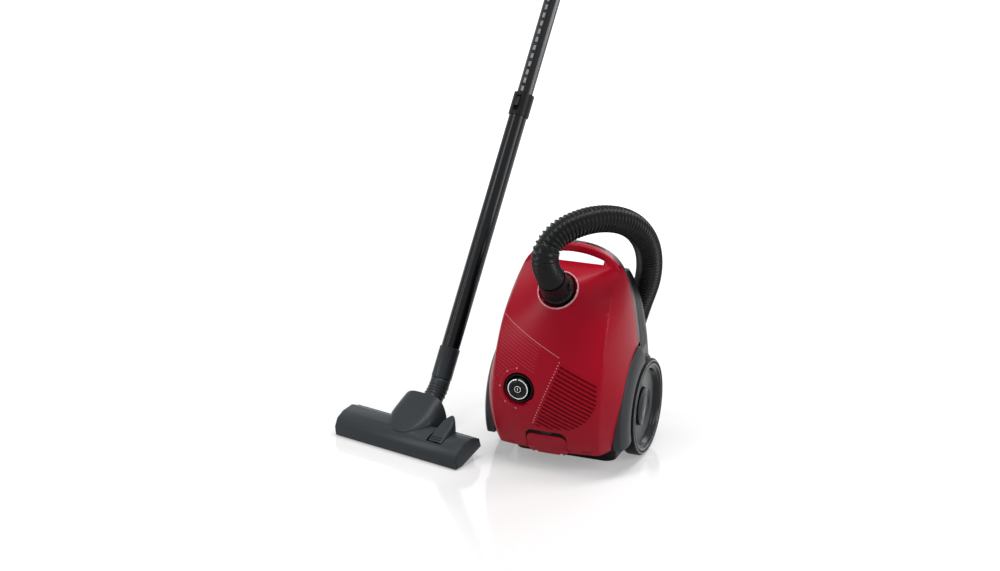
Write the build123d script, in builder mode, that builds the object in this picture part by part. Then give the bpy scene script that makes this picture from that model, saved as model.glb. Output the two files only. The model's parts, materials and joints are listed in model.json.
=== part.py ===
# Canister vacuum cleaner standing on its tail, with its hose plugged in and its wand beside it.
# Millimetres, +Z up. The origin is on the floor under the canister, the red lid faces -Y.
import os
from math import cos, radians, sin, tan

from build123d import *

os.makedirs("parts", exist_ok=True)

# Walls, seams and fits
WALL = 3.0
SEAM = 0.6
RUN_PLAY = 0.05
SIDE_PLAY = 0.4

# Canister body: level sections, each with its height, the front at the middle, the crease of the side,
# the bulge of the flank between the crease and the seam, the half width at the seam and the rear corner
SEAM_Y = 30.0
BODY_SECTIONS = (
    (14, -78, 82, -70, 10, 112, 101, 103),
    (70, -104, 90, -95, 15, 120, 108, 103),
    (127, -112, 92.5, -103, 16, 121, 110, 102),
    (190, -102, 93, -90, 8, 114, 107, 97),
    (250, -83, 89.5, -63, 5, 106, 101, 85),
    (291, -66, 84, -26, 3, 98, 93, 71),
    (315, -49, 79, 6, 1.5, 90, 85, 60.5),
    (328, -24, 73, 17, 0.8, 82, 77, 55),
    (335, 8, 64, 24, 0.5, 74, 70, 52),
)
LEVELS = (14, 42, 70, 98, 127, 158, 190, 220, 250, 272, 291, 306, 318, 328, 335)
BACK_CROWN = 4.0
ROOF_START_Z = 256.0
ROOF_Z = BODY_SECTIONS[-1][0]
ROOF_EDGE_Y = 9.0
ROOF_FALL_DEG = 20.0
TAIL_HALF_WIDTH = 124.0
TAIL_ROUND = 46.0
LID_FOOT_Z = 38.0
FRAME_DEPTH = 12.0
FRAME_WALL = 7.0

# Carrying bow over the roof
BOW_HALF_WIDTH = 90.0
BOW_TOP_Z = 362.0
BOW_SHOULDER_X = 66.0
BOW_SHOULDER_Z = 344.0
BOW_FOOT_Z = 306.0
BOW_FRONT_Y = 17.0
BOW_BACK_Y = 42.0
BOW_EDGE_ROUND = 4.0
GRIP_HALF_WIDTH = 54.0
GRIP_TOP_Z = 348.0
GRIP_SIDE_Z = 338.0
GRIP_FOOT_Z = 312.0

# Lid hinge along the top of the bow
HINGE_Z = 358.0
HINGE_BARREL_R = 4.0
HINGE_PIN_R = 1.5
HINGE_RELIEF_R = 5.4
KNUCKLE_HALF = 6.5
LID_KNUCKLE_END = 18.0

# Rear wheels
WHEEL_Y = 45.0
WHEEL_Z = 82.6
TYRE_R = 82.2
TYRE_BED_R = 74.0
WHEEL_IN_X = 104.0
WHEEL_OUT_X = 128.0
DISH_DEPTH = 10.0
DISH_R = 66.0
RIM_LIP = 3.0
TYRE_ROUND = 4.0
WEB = 4.0
HUB_R = 13.0
HUB_CAP_R = 32.0
HUB_CAP_DEPTH = 4.0
HUB_CAP_EDGE = 1.5
AXLE_R = 6.0
WELL_R = 86.5
WELL_WALL = 2.5
WELL_IN_X = 92.0
WELL_OUT_X = 111.6
WELL_FOOT_Z = 6.0
WELL_BACK_Y = 104.0
AXLE_BOSS = 8.0
ARCH_R = 116.0
FENDER_OUT_X = 126.0
FENDER_EDGE_X = 117.5
FENDER_IN_X = 104.0
FENDER_CROWN = 3.0
FENDER_TOP_DEG = 80.0
FENDER_FOOT_DEG = 20.0
FLOOR_GAP = 6.0

# Tail tray that the canister stands on
TRAY_HALF_WIDTH = 88.0
TRAY_FRONT_Y = -16.0
TRAY_BACK_Y = 99.0
TRAY_ROUND = 18.0
TRAY_WALL = 4.0

# Hose inlet in the nose of the lid, its axis rising towards the front
INLET_Y = -57.0
INLET_Z = 311.0
INLET_RISE_DEG = 42.0
DISH_CUP_R = 35.0
DISH_BORE_R = 32.0
DISH_SINK = 18.0
DISH_FLOOR = 5.0
CUFF_R = 23.0
CUFF_BORE_R = 15.5
CUFF_COLLAR_R = 27.0
CUFF_LENGTH = 34.0
CUFF_INSIDE = 28.0
CUFF_COLLAR = 12.0
CUFF_BUTTON_RISE = 10.0
CUFF_BUTTON_R = 6.0
CUFF_BUTTON_TRAVEL = 2.0
RING_R = 34.6
RING_WIDTH = 2.4
RING_PROUD = 0.9
SEAL_DEPTH = 3.0
LID_SEAL = 5.0

# Suction hose: middle line, first and last runs straight
HOSE_R = 22.0
HOSE_VALLEY_R = 19.2
HOSE_BORE_R = 16.0
HOSE_RIBS = 110
HOSE_STRETCH = 10
HOSE_RIB_FORM = ((0.2, HOSE_VALLEY_R), (0.4, HOSE_R), (0.7, HOSE_R), (0.9, HOSE_VALLEY_R))
HOSE_FIRST_RUN = 66.0
HOSE_TANGENT_SHARE = 0.45
HOSE_SELF_RUN = 150.0
HOSE_STEADY = (0.88, -0.47, 0.0)
HOSE_ROUTE = (
    (17, -111, 420),
    (62, -60, 436),
    (100, 4, 417),
    (115, 62, 366),
    (107, 106, 296),
    (76, 142, 224),
    (50, 166, 148),
    (16, 190, 72),
    (-28, 262, 23),
    (-66, 352, 23),
    (-100, 450, 23),
    (-128, 552, 23),
)

# Grip on the far end of the hose
GRIP_CUFF_R = 22.8
GRIP_CUFF = 40.0
GRIP_R = 18.0
GRIP_BORE_R = 10.5
GRIP_RUN = 80.0
GRIP_TURN_DEG = 28.0
GRIP_BEND_R = 90.0
GRIP_SPIGOT = 40.0
GRIP_VENT_RUN = 60.0
GRIP_VENT = 24.0
GRIP_VENT_WIDTH = 7.0

# Control knob in its well
KNOB_X = -46.5
KNOB_Z = 146.0
TURRET_R = 24.0
TURRET_FACE_Y = -104.0
TURRET_WALL = 2.5
WELL_SINK = 10.0
LID_KNOB_HOLE_R = 25.5
KNOB_DISH_R = 29.5
KNOB_DISH_WALL = 2.0
KNOB_DISH_FRONT_Y = -111.0
KNOB_DISH_BACK_Y = -99.0
KNOB_R = 15.4
KNOB_DEPTH = 15.5
KNOB_RING_R = 17.4
KNOB_RING_DEPTH = 4.0
KNOB_STEM_R = 4.0
POWER_R = 9.0
POWER_DEPTH = 5.0
POWER_TRAVEL = 2.5
KNOB_RING_EDGE = 0.8
BOARD = 1.6
BOARD_SIDE = 28.0

# Latch tab at the foot of the lid
LATCH_HALF_WIDTH = 35.0
LATCH_FOOT_Z = 31.0
LATCH_TOP_Z = 70.0
LATCH_SLOT = 8.0
LATCH_ROUND = 12.0
LATCH_THICK = 4.0
LATCH_PIN_R = 1.5
LATCH_BARREL_R = 4.0
LATCH_AXIS_Y = -88.0
LATCH_AXIS_Z = 44.0
LATCH_NOTCH_X = 22.0
LATCH_NOTCH_R = 3.0

# Motor, reel and dust chamber
BULKHEAD_Y = 34.0
BULKHEAD = 4.0
MOTOR_X = 40.0
MOTOR_Z = 88.0
MOTOR_R = 36.0
MOTOR_FLANGE_R = 40.0
MOTOR_FRONT_Y = -46.0
MOTOR_BACK_Y = 80.0
CORE_R = 22.0
CORE_FRONT_Y = -18.0
CORE_BACK_Y = 62.0
SHAFT_R = 4.0
FAN_R = 31.0
FAN_FRONT_Y = -40.0
FAN_DEPTH = 12.0
FAN_BLADES = 9
FAN_PLATE = 2.0
FAN_SWEEP_DEG = 30.0
MOTOR_EYE_R = 14.0
REEL_X = -42.0
REEL_Z = 80.0
REEL_R = 36.0
REEL_HUB_R = 16.0
REEL_PIN_R = 5.0
REEL_FRONT_Y = 46.0
REEL_BACK_Y = 80.0
SHELF_Z = 176.0
SHELF_HALF_WIDTH = 84.0
SHELF_FRONT_Y = -76.0
FILTER_DEPTH = 9.0
FILTER_Y = -14.0
FILTER_HALF_WIDTH = 60.0
FILTER_HALF_DEPTH = 36.0
GRILLE_HALF_WIDTH = 54.0
GRILLE_FOOT_Z = 46.0
GRILLE_TOP_Z = 118.0
GRILLE_SLOTS = 8
GRILLE_SLOT = 4.0
SCREW_X = 72.0
SCREW_HEIGHTS = (214.0, 250.0)
SCREW_R = 2.0
SCREW_HEAD_R = 4.0
SCREW_HEAD = 3.0
SCREW_HEAD_Y = 62.0
SCREW_BOSS_R = 7.0
OUTLET_X = -62.0
OUTLET_Z = 60.0
OUTLET_R = 7.0
OUTLET_BORE_R = 4.0
OUTLET_FLANGE_R = 10.0
OUTLET_FLANGE = 2.5
OUTLET_FACE_Y = 106.2
BAG_HALF_WIDTH = 66.0
BAG_FRONT_Y = -46.0
BAG_TOP_Z = 264.0
BAG_ROUND = 18.0
BAG_NECK = 34.0
HOLDER_SINK = 34.0
HOLDER_HALF_WIDTH = 40.0
HOLDER_HALF_HEIGHT = 32.0

# Caster on the underside, near the nose
CASTER_Z = 264.0
CASTER_BOSS_R = 16.0
CASTER_FACE_Y = 92.0
CASTER_BOSS_DEPTH = 20.0
CASTER_STEM_R = 5.0
CASTER_TRAIL = 9.0
CASTER_R = 13.0
CASTER_HALF_WIDTH = 7.0
CASTER_CHEEK = 3.0
CASTER_PIN_R = 2.5

# Floor nozzle, turned on the floor, with the wand leaning back
NOZZLE_X = -265.7
NOZZLE_Y = -114.5
NOZZLE_TURN_DEG = -13.4
NOZZLE_WIDTH = 256.0
NOZZLE_PROFILE = ((0, -8), (-3, 18), (4, 32), (20, 40), (44, 43), (65, 35), (70, 20), (66, -8))
NOZZLE_ROUND = 6.0
NOZZLE_END_X = 114.0
NOZZLE_END_LIFT = ((10, 0), (90, 0), (90, 26))
HOOD_SECTIONS = ((12, 5, 26, 37), (30, 20, 26, 50), (56, 31, 26, 66.5), (80, 36, 40, 79))
HOOD_FULLNESS = 0.95
HOOD_WALL = 3.0
HOOD_MOUTH_Y = 70.0
NECK_SLOT_FOOT_Z = 12.0
NECK_SLOT_REACH = 110.0
NOZZLE_WALL = 2.5
SOLE_Z = 2.0
SOLE = 4.0
SLOT_LENGTH = 210.0
SLOT_WIDTH = 16.0
SLOT_Y = 26.0
PIVOT_Y = 56.0
PIVOT_Z = 34.0
PIVOT_R = 18.0
PIVOT_HALF = 19.5
PIVOT_PIN_R = 5.0
CHEEK = 5.0
NECK_R = 17.0
NECK_BORE_R = 13.0
NECK_LEAN_DEG = 60.0
NECK_RUN = 74.0
NECK_BEND_R = 60.0
WAND_LEAN_DEG = 29.0
NECK_END = 24.0
SPIGOT_R = 14.55
SPIGOT = 22.0
SLEEVE_R = 17.8
SLEEVE_TOP = 78.8
OUTER_R = 16.0
OUTER_BORE_R = 14.6
OUTER_TOP = 528.0
LOCK_R = 18.2
LOCK_FOOT = 500.0
LOCK_TOP = 540.0
INNER_R = 14.0
INNER_BORE_R = 12.6
INNER_FOOT = 300.0
INNER_TOP = 800.0
RATCHET_PITCH = 15.0
RATCHET_LENGTH = 9.0
RATCHET_WIDTH = 5.0
RATCHET_COUNT = 18
SLIDER_TRAVEL = 5.0
SLIDER_WIDTH = 9.0
SLIDER_LENGTH = 16.0
SLIDER_RISE = 6.0
LOCK_GROOVE = 1.6
WAND_FACE_DEG = 225.0
INNER_GUIDE = 12.0
ROLLER_R = 8.0
ROLLER_X = 100.0
ROLLER_WIDTH = 10.0
ROLLER_PIN_R = 2.0
ROLLER_Y = 54.5
PEDAL_X = 75.0
PEDAL_HALF_WIDTH = 15.0
PEDAL_FRONT_Y = 10.0
PEDAL_BACK_Y = 63.0
PEDAL_GAP = 1.5
PEDAL_PIN_Y = 25.0
PEDAL_PIN_Z = 18.0
PEDAL_PIN_R = 2.0
PEDAL_EAR_FOOT_Z = 14.0
PEDAL_EAR_TOP_Z = 39.5
PEDAL_FOOT_Z = 15.0
PEDAL_TOP_Z = 67.0
PEDAL_PROFILE = ((9, 15), (9, 35), (14, 38), (52, 66), (59, 66), (64, 58), (62, 34), (60, 24), (40, 15))
BRUSH_LENGTH = 208.0
BRUSH_WIDTH = 4.0
BRUSH_BACK = 3.0
BRUSH_TIP_Z = 0.3
BRUSH_Y = 42.0
GLIDE_X = 100.0
GLIDE_Y = 11.0
GLIDE_R = 4.0

WHEEL_AXIS = Axis((0, WHEEL_Y, WHEEL_Z), (1, 0, 0))
FRAME_Y = SEAM_Y + FRAME_DEPTH
INLET_RISE = radians(INLET_RISE_DEG)
INLET_DIR = Vector(0, -cos(INLET_RISE), sin(INLET_RISE))
INLET_PLANE = Plane(origin=(0, INLET_Y, INLET_Z), x_dir=(1, 0, 0), z_dir=INLET_DIR)
NOZZLE_PLACE = Location((NOZZLE_X, NOZZLE_Y, 0), (0, 0, NOZZLE_TURN_DEG))
BEND_Y = PIVOT_Y + NECK_RUN * sin(radians(NECK_LEAN_DEG))
BEND_Z = PIVOT_Z + NECK_RUN * cos(radians(NECK_LEAN_DEG))
WAND_PLACE = NOZZLE_PLACE * Location((0, BEND_Y, BEND_Z), (-WAND_LEAN_DEG, 0, 0))
BIG = 800.0
ON_FOOT = (Align.CENTER, Align.CENTER, Align.MIN)


def keep(part, name, place=None):
    solid = part if place is None else part.moved(place)
    solid.label = name
    export_step(solid, f"parts/{name}.step")
    print(f"{name}: {len(solid.solids())} solids, {solid.volume / 1000:.1f} cm3")
    return solid


def tail_outline(inset, foot):
    # Front outline of the tail, with its two rounded lower corners, drawn in by the inset
    with BuildPart() as outline:
        with BuildSketch(Plane.XZ) as face:
            with BuildLine():
                side = TAIL_HALF_WIDTH - inset
                Polyline((-side, BIG), (-side, foot + inset), (side, foot + inset), (side, BIG), close=True)
            make_face()
            fillet(face.vertices().group_by(Axis.Z)[0], TAIL_ROUND - inset)
        extrude(amount=BIG, both=True)
    return outline.part


def slope(index, column):
    # Rise of one column of the section table at one of its rows
    low = BODY_SECTIONS[max(index - 1, 0)]
    high = BODY_SECTIONS[min(index + 1, len(BODY_SECTIONS) - 1)]
    return (high[column] - low[column]) / (high[0] - low[0])


def section_at(height):
    # Section at any height, on a smooth curve through the rows of the table
    row = max(i for i in range(len(BODY_SECTIONS) - 1) if BODY_SECTIONS[i][0] <= height)
    low, high = BODY_SECTIONS[row], BODY_SECTIONS[row + 1]
    span = high[0] - low[0]
    t = (height - low[0]) / span
    return [
        (1 + 2 * t) * (1 - t) ** 2 * low[k] + t * (1 - t) ** 2 * span * slope(row, k)
        + t * t * (3 - 2 * t) * high[k] - t * t * (1 - t) * span * slope(row + 1, k)
        for k in range(1, len(low))
    ]


def body_form(inset, foot=LID_FOOT_Z):
    # The canister's outer form without its bow, drawn in by the inset
    with BuildPart() as form:
        for height in LEVELS:
            front, crease_x, crease_y, bulge, side_x, back_x, back_y = section_at(height)
            roof_share = max(0, (height - ROOF_START_Z) / (ROOF_Z - ROOF_START_Z))
            with BuildSketch(Plane.XY.offset(height - inset * roof_share)):
                with BuildLine():
                    crease = Vector(crease_x - inset, crease_y + inset)
                    side = Vector(side_x - inset, SEAM_Y)
                    rear = Vector(back_x - inset, back_y - inset)
                    chord = (side - crease).normalized()
                    flank = (crease + side) / 2 + Vector(chord.Y, -chord.X) * 2 * bulge
                    nose = (0, 2 * (front + inset) - crease.Y)
                    keel = (0, rear.Y + 2 * BACK_CROWN)
                    Bezier((-crease.X, crease.Y), nose, crease)
                    Bezier(crease, flank, side)
                    Line(side, rear)
                    Bezier(rear, keel, (-rear.X, rear.Y))
                    Line((-rear.X, rear.Y), (-side.X, side.Y))
                    Bezier((-side.X, side.Y), (-flank.X, flank.Y), (-crease.X, crease.Y))
                make_face()
        loft(ruled=True)
        add(tail_outline(inset, foot), mode=Mode.INTERSECT)
        with Locations(Location((0, ROOF_EDGE_Y, ROOF_Z - inset), (-ROOF_FALL_DEG, 0, 0))):
            Box(BIG, BIG, BIG, align=(Align.CENTER, Align.MIN, Align.MIN), mode=Mode.SUBTRACT)
    return form.part


def bow_form():
    # Arched plate over the roof with the finger opening under it
    with BuildPart() as bow:
        with BuildSketch(Plane.XZ.offset(-BOW_FRONT_Y)):
            with BuildLine():
                arch = Spline(
                    (BOW_HALF_WIDTH, BOW_FOOT_Z),
                    (BOW_SHOULDER_X, BOW_SHOULDER_Z),
                    (0, BOW_TOP_Z),
                    (-BOW_SHOULDER_X, BOW_SHOULDER_Z),
                    (-BOW_HALF_WIDTH, BOW_FOOT_Z),
                )
                Line(arch @ 1, arch @ 0)
            make_face()
        extrude(amount=BOW_FRONT_Y - BOW_BACK_Y)
        with BuildSketch(Plane.XZ):
            with BuildLine():
                ThreePointArc((GRIP_HALF_WIDTH, GRIP_SIDE_Z), (0, GRIP_TOP_Z), (-GRIP_HALF_WIDTH, GRIP_SIDE_Z))
                Polyline(
                    (-GRIP_HALF_WIDTH, GRIP_SIDE_Z),
                    (-GRIP_HALF_WIDTH, ROOF_Z),
                    (GRIP_HALF_WIDTH, ROOF_Z),
                    (GRIP_HALF_WIDTH, GRIP_SIDE_Z),
                )
            make_face()
        extrude(amount=BIG, both=True, mode=Mode.SUBTRACT)
        rims = bow.edges().group_by(Axis.Y)
        fillet(rims[0] + rims[-1], BOW_EDGE_ROUND)
        with Locations((0, 0, GRIP_FOOT_Z)):
            Box(2 * GRIP_HALF_WIDTH, BIG, ROOF_Z - GRIP_FOOT_Z, align=ON_FOOT, mode=Mode.SUBTRACT)
    return bow.part


def slab(y_from, y_to, z_from=-BIG, z_to=BIG, half_width=BIG):
    # Block across the body between two depths and two heights
    with BuildPart() as block:
        with Locations((0, (y_from + y_to) / 2, (z_from + z_to) / 2)):
            Box(2 * half_width, y_to - y_from, z_to - z_from)
    return block.part


def rod(x, y_from, y_to, z, radius, bore=0):
    # Round rod or tube along Y
    with BuildPart() as bar:
        with BuildSketch(Plane(origin=(x, y_from, z), x_dir=(1, 0, 0), z_dir=(0, 1, 0))):
            Circle(radius)
            if bore:
                Circle(bore, mode=Mode.SUBTRACT)
        extrude(amount=y_to - y_from)
    return bar.part


def cross_rod(x_from, x_to, y, z, radius, bore=0):
    # Round rod or tube along X
    with BuildPart() as bar:
        with BuildSketch(Plane(origin=(x_from, y, z), x_dir=(0, 1, 0), z_dir=(1, 0, 0))):
            Circle(radius)
            if bore:
                Circle(bore, mode=Mode.SUBTRACT)
        extrude(amount=x_to - x_from)
    return bar.part


def inlet_rod(start, end, radius, bore=0):
    # Round rod or tube along the inlet's axis
    with BuildPart() as bar:
        with BuildSketch(INLET_PLANE.offset(start)):
            Circle(radius)
            if bore:
                Circle(bore, mode=Mode.SUBTRACT)
        extrude(amount=end - start)
    return bar.part


def latch_outline(grow, foot, top):
    # Block through the lid's wall with the latch tab's outline, its two upper corners rounded
    with BuildPart() as block:
        with BuildSketch(Plane.XZ) as face:
            with Locations((0, (foot + top) / 2)):
                Rectangle(2 * (LATCH_HALF_WIDTH + grow), top - foot)
            fillet(face.vertices().group_by(Axis.Z)[-1], LATCH_ROUND + grow)
        extrude(amount=BIG)
    return block.part


outer_form = body_form(0)
inner_form = body_form(WALL)
bow = bow_form()

# Dust lid: the front of the body and of the bow, open behind
LID_BACK_Y = SEAM_Y - SEAM / 2
latch_width = LATCH_HALF_WIDTH + SEAM
with BuildPart() as dust_lid:
    add(outer_form)
    add(inner_form, mode=Mode.SUBTRACT)
    add(inlet_rod(-DISH_SINK - DISH_FLOOR, BIG, DISH_CUP_R))
    add(rod(KNOB_X, -BIG, KNOB_DISH_BACK_Y, KNOB_Z, KNOB_DISH_R + KNOB_DISH_WALL))
    add(outer_form, mode=Mode.INTERSECT)
    add(bow)
    add(slab(-BIG, LID_BACK_Y), mode=Mode.INTERSECT)
    add(cross_rod(-BIG, BIG, WHEEL_Y, WHEEL_Z, ARCH_R + SEAM), mode=Mode.SUBTRACT)
    add(inlet_rod(-DISH_SINK, BIG, DISH_BORE_R), mode=Mode.SUBTRACT)
    add(inlet_rod(-BIG / 8, BIG, CUFF_R + RUN_PLAY), mode=Mode.SUBTRACT)
    add(rod(KNOB_X, -BIG, 0, KNOB_Z, LID_KNOB_HOLE_R), mode=Mode.SUBTRACT)
    with Locations(Location((KNOB_X, KNOB_DISH_FRONT_Y, KNOB_Z), (-90, 0, 0))):
        dish_depth = KNOB_DISH_BACK_Y - KNOB_DISH_FRONT_Y
        Cone(KNOB_DISH_R, LID_KNOB_HOLE_R, dish_depth, align=ON_FOOT, mode=Mode.SUBTRACT)
    add(latch_outline(SEAM, 0, LATCH_TOP_Z + LATCH_SLOT), mode=Mode.SUBTRACT)
    add(cross_rod(-KNUCKLE_HALF - SIDE_PLAY, KNUCKLE_HALF + SIDE_PLAY, SEAM_Y, HINGE_Z, HINGE_RELIEF_R),
        mode=Mode.SUBTRACT)
    for side in (-1, 1):
        ends = sorted((side * (KNUCKLE_HALF + SIDE_PLAY), side * LID_KNUCKLE_END))
        add(cross_rod(*ends, SEAM_Y, HINGE_Z, HINGE_BARREL_R))
    add(cross_rod(-LID_KNUCKLE_END, LID_KNUCKLE_END, SEAM_Y, HINGE_Z, HINGE_PIN_R), mode=Mode.SUBTRACT)
    for side in (-1, 1):
        ends = sorted((side * latch_width, side * (latch_width + WALL)))
        add(cross_rod(*ends, LATCH_AXIS_Y, LATCH_AXIS_Z, LATCH_BARREL_R))
    add(cross_rod(-BIG, BIG, LATCH_AXIS_Y, LATCH_AXIS_Z, LATCH_PIN_R), mode=Mode.SUBTRACT)
keep(dust_lid.part, "dust_lid")

# Chassis frame: the grey strip behind the seam, the rear of the bow and the bulkhead across the inside
frame_front_y = SEAM_Y + SEAM / 2
well_top_z = WHEEL_Z + WELL_R + WELL_WALL + SEAM
with BuildPart() as chassis_frame:
    add(outer_form)
    add(body_form(FRAME_WALL), mode=Mode.SUBTRACT)
    add(slab(frame_front_y, FRAME_Y), mode=Mode.INTERSECT)
    add(cross_rod(-BIG, BIG, WHEEL_Y, WHEEL_Z, ARCH_R + SEAM), mode=Mode.SUBTRACT)
    add(bow & slab(frame_front_y, BOW_BACK_Y, BOW_FOOT_Z + FRAME_WALL))
    for side in (-1, 1):
        ends = sorted((side * (KNUCKLE_HALF + SIDE_PLAY / 2), side * BOW_SHOULDER_X))
        add(cross_rod(*ends, SEAM_Y, HINGE_Z, HINGE_RELIEF_R), mode=Mode.SUBTRACT)
    add(cross_rod(-KNUCKLE_HALF, KNUCKLE_HALF, SEAM_Y, HINGE_Z, HINGE_BARREL_R))
    add(cross_rod(-BIG, BIG, SEAM_Y, HINGE_Z, HINGE_PIN_R + RUN_PLAY), mode=Mode.SUBTRACT)
    add(inner_form & slab(BULKHEAD_Y, BULKHEAD_Y + BULKHEAD, well_top_z))
    add(slab(BULKHEAD_Y, BULKHEAD_Y + BULKHEAD, LID_FOOT_Z + WALL, well_top_z, WELL_IN_X - WALL - AXLE_BOSS))
    add(rod(MOTOR_X, 0, BIG, MOTOR_Z, MOTOR_R + SEAM), mode=Mode.SUBTRACT)
    add(rod(REEL_X, 0, BIG, REEL_Z, REEL_PIN_R), mode=Mode.SUBTRACT)
    for side in (-1, 1):
        for height in SCREW_HEIGHTS:
            add(rod(side * SCREW_X, 0, BIG, height, SCREW_R), mode=Mode.SUBTRACT)
keep(chassis_frame.part, "chassis_frame")

# Black base shell: the underside behind the frame, the wheel wells, the tail tray and the caster's boss
tray_middle_y = (TRAY_FRONT_Y + TRAY_BACK_Y) / 2
tray_depth = TRAY_BACK_Y - TRAY_FRONT_Y
caster_boss_y = CASTER_FACE_Y - CASTER_BOSS_DEPTH
with BuildPart() as wheel_wells:
    for side in (-1, 1):
        deep = side * (WELL_IN_X - WALL)
        boss_end = deep - side * AXLE_BOSS
        add(cross_rod(*sorted((deep, side * WELL_OUT_X)), WHEEL_Y, WHEEL_Z, WELL_R + WELL_WALL))
        add(cross_rod(*sorted((side * WELL_IN_X, side * WELL_OUT_X)), WHEEL_Y, WHEEL_Z, WELL_R), mode=Mode.SUBTRACT)
        add(cross_rod(*sorted((boss_end, deep)), WHEEL_Y, WHEEL_Z, 2 * AXLE_R))
        add(cross_rod(*sorted((boss_end, side * WELL_IN_X)), WHEEL_Y, WHEEL_Z, AXLE_R), mode=Mode.SUBTRACT)
    add(slab(-BIG, WELL_BACK_Y, WELL_FOOT_Z), mode=Mode.INTERSECT)
with BuildPart() as base_shell:
    add(outer_form)
    add(inner_form, mode=Mode.SUBTRACT)
    for side in (-1, 1):
        for height in SCREW_HEIGHTS:
            add(rod(side * SCREW_X, FRAME_Y, BIG, height, SCREW_BOSS_R))
    add(rod(0, caster_boss_y, BIG, CASTER_Z, CASTER_BOSS_R))
    add(outer_form & slab(FRAME_Y, BIG), mode=Mode.INTERSECT)
    add(bow, mode=Mode.SUBTRACT)
    add(rod(0, caster_boss_y, CASTER_FACE_Y, CASTER_Z, CASTER_BOSS_R))
    for side in (-1, 1):
        add(cross_rod(*sorted((side * WELL_IN_X, side * BIG)), WHEEL_Y, WHEEL_Z, WELL_R), mode=Mode.SUBTRACT)
        for height in SCREW_HEIGHTS:
            add(rod(side * SCREW_X, 0, BIG, height, SCREW_R), mode=Mode.SUBTRACT)
            add(rod(side * SCREW_X, SCREW_HEAD_Y, BIG, height, SCREW_HEAD_R), mode=Mode.SUBTRACT)
    add(wheel_wells.part)
    with BuildSketch():
        with Locations((0, tray_middle_y)):
            RectangleRounded(2 * TRAY_HALF_WIDTH, tray_depth, TRAY_ROUND)
    extrude(amount=LID_FOOT_Z + WALL)
    with BuildSketch(Plane.XY.offset(TRAY_WALL)):
        with Locations((0, tray_middle_y)):
            RectangleRounded(2 * (TRAY_HALF_WIDTH - TRAY_WALL), tray_depth - 2 * TRAY_WALL, TRAY_ROUND - TRAY_WALL)
    extrude(amount=LID_FOOT_Z + WALL, mode=Mode.SUBTRACT)
    add(slab(FRAME_Y, BIG, GRILLE_FOOT_Z, GRILLE_TOP_Z, GRILLE_HALF_WIDTH), mode=Mode.SUBTRACT)
    add(rod(0, caster_boss_y, BIG, CASTER_Z, CASTER_STEM_R + RUN_PLAY), mode=Mode.SUBTRACT)
    add(rod(OUTLET_X, FRAME_Y, BIG, OUTLET_Z, OUTLET_R), mode=Mode.SUBTRACT)
keep(base_shell.part, "base_shell")

# Exhaust grille and filter in the base shell's window
grille_slab = slab(FRAME_Y, BIG, GRILLE_FOOT_Z + SEAM / 2, GRILLE_TOP_Z - SEAM / 2, GRILLE_HALF_WIDTH - SEAM / 2)
with BuildPart() as exhaust_grille:
    add(outer_form & grille_slab)
    add(inner_form, mode=Mode.SUBTRACT)
    pitch = (GRILLE_TOP_Z - GRILLE_FOOT_Z) / (GRILLE_SLOTS + 1)
    for i in range(GRILLE_SLOTS):
        middle = GRILLE_FOOT_Z + (i + 1) * pitch
        for side in (-1, 1):
            with Locations((side * GRILLE_HALF_WIDTH / 2, WELL_BACK_Y, middle)):
                Box(GRILLE_HALF_WIDTH - 2 * GRILLE_SLOT, BIG / 10, GRILLE_SLOT, mode=Mode.SUBTRACT)
keep(exhaust_grille.part, "exhaust_grille")
with BuildPart() as exhaust_filter:
    add(body_form(WALL + SEAM / 2) & slab(WELL_BACK_Y - 20, BIG, GRILLE_FOOT_Z + WALL, GRILLE_TOP_Z - WALL,
                                         GRILLE_HALF_WIDTH - WALL))
keep(exhaust_filter.part, "exhaust_filter")

# Fenders: grey quarter rings round the front of each wheel
foot_turn = radians(FENDER_FOOT_DEG)
fender_plane = Plane(
    origin=(0, WHEEL_Y, WHEEL_Z), x_dir=(1, 0, 0), z_dir=(0, sin(foot_turn), -cos(foot_turn)))
with BuildPart() as right_fender:
    with BuildSketch(fender_plane):
        with BuildLine():
            rim = (FENDER_OUT_X, WELL_R)
            edge = (FENDER_EDGE_X, ARCH_R)
            SagittaArc(rim, edge, -FENDER_CROWN)
            Polyline(
                edge,
                (FENDER_IN_X, ARCH_R),
                (FENDER_IN_X, WELL_R + WELL_WALL),
                (WELL_OUT_X, WELL_R + WELL_WALL),
                (WELL_OUT_X, WELL_R),
                rim,
            )
        make_face()
    revolve(axis=Axis((0, WHEEL_Y, WHEEL_Z), (-1, 0, 0)), revolution_arc=FENDER_FOOT_DEG + FENDER_TOP_DEG)
    add(slab(-BIG, BIG, FLOOR_GAP), mode=Mode.INTERSECT)
keep(right_fender.part, "right_fender")
with BuildPart() as left_fender:
    add(right_fender.part)
    mirror(about=Plane.YZ, mode=Mode.REPLACE)
keep(left_fender.part, "left_fender")

# Rear wheels, each a dished rim, a tyre and a hub cap on a fixed axle
wheel_plane = Plane(origin=(0, WHEEL_Y, WHEEL_Z), x_dir=(1, 0, 0), z_dir=(0, 0, 1))
web_out = WHEEL_OUT_X - DISH_DEPTH
web_in = web_out - WEB
hub_in = WELL_IN_X + SIDE_PLAY
with BuildPart() as wheel_rim:
    with BuildSketch(wheel_plane):
        with BuildLine():
            Polyline(
                (hub_in, AXLE_R + RUN_PLAY),
                (hub_in, HUB_R),
                (web_in, HUB_R),
                (web_in, DISH_R),
                (WHEEL_IN_X, DISH_R),
                (WHEEL_IN_X, TYRE_BED_R),
                (WHEEL_OUT_X, TYRE_BED_R),
                (WHEEL_OUT_X, TYRE_BED_R - RIM_LIP),
                (WHEEL_OUT_X - RIM_LIP, DISH_R + RIM_LIP),
                (WHEEL_OUT_X - RIM_LIP, DISH_R),
                (web_out, DISH_R - RIM_LIP),
                (web_out, AXLE_R + RUN_PLAY),
                close=True,
            )
        make_face()
    revolve(axis=WHEEL_AXIS)
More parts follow.
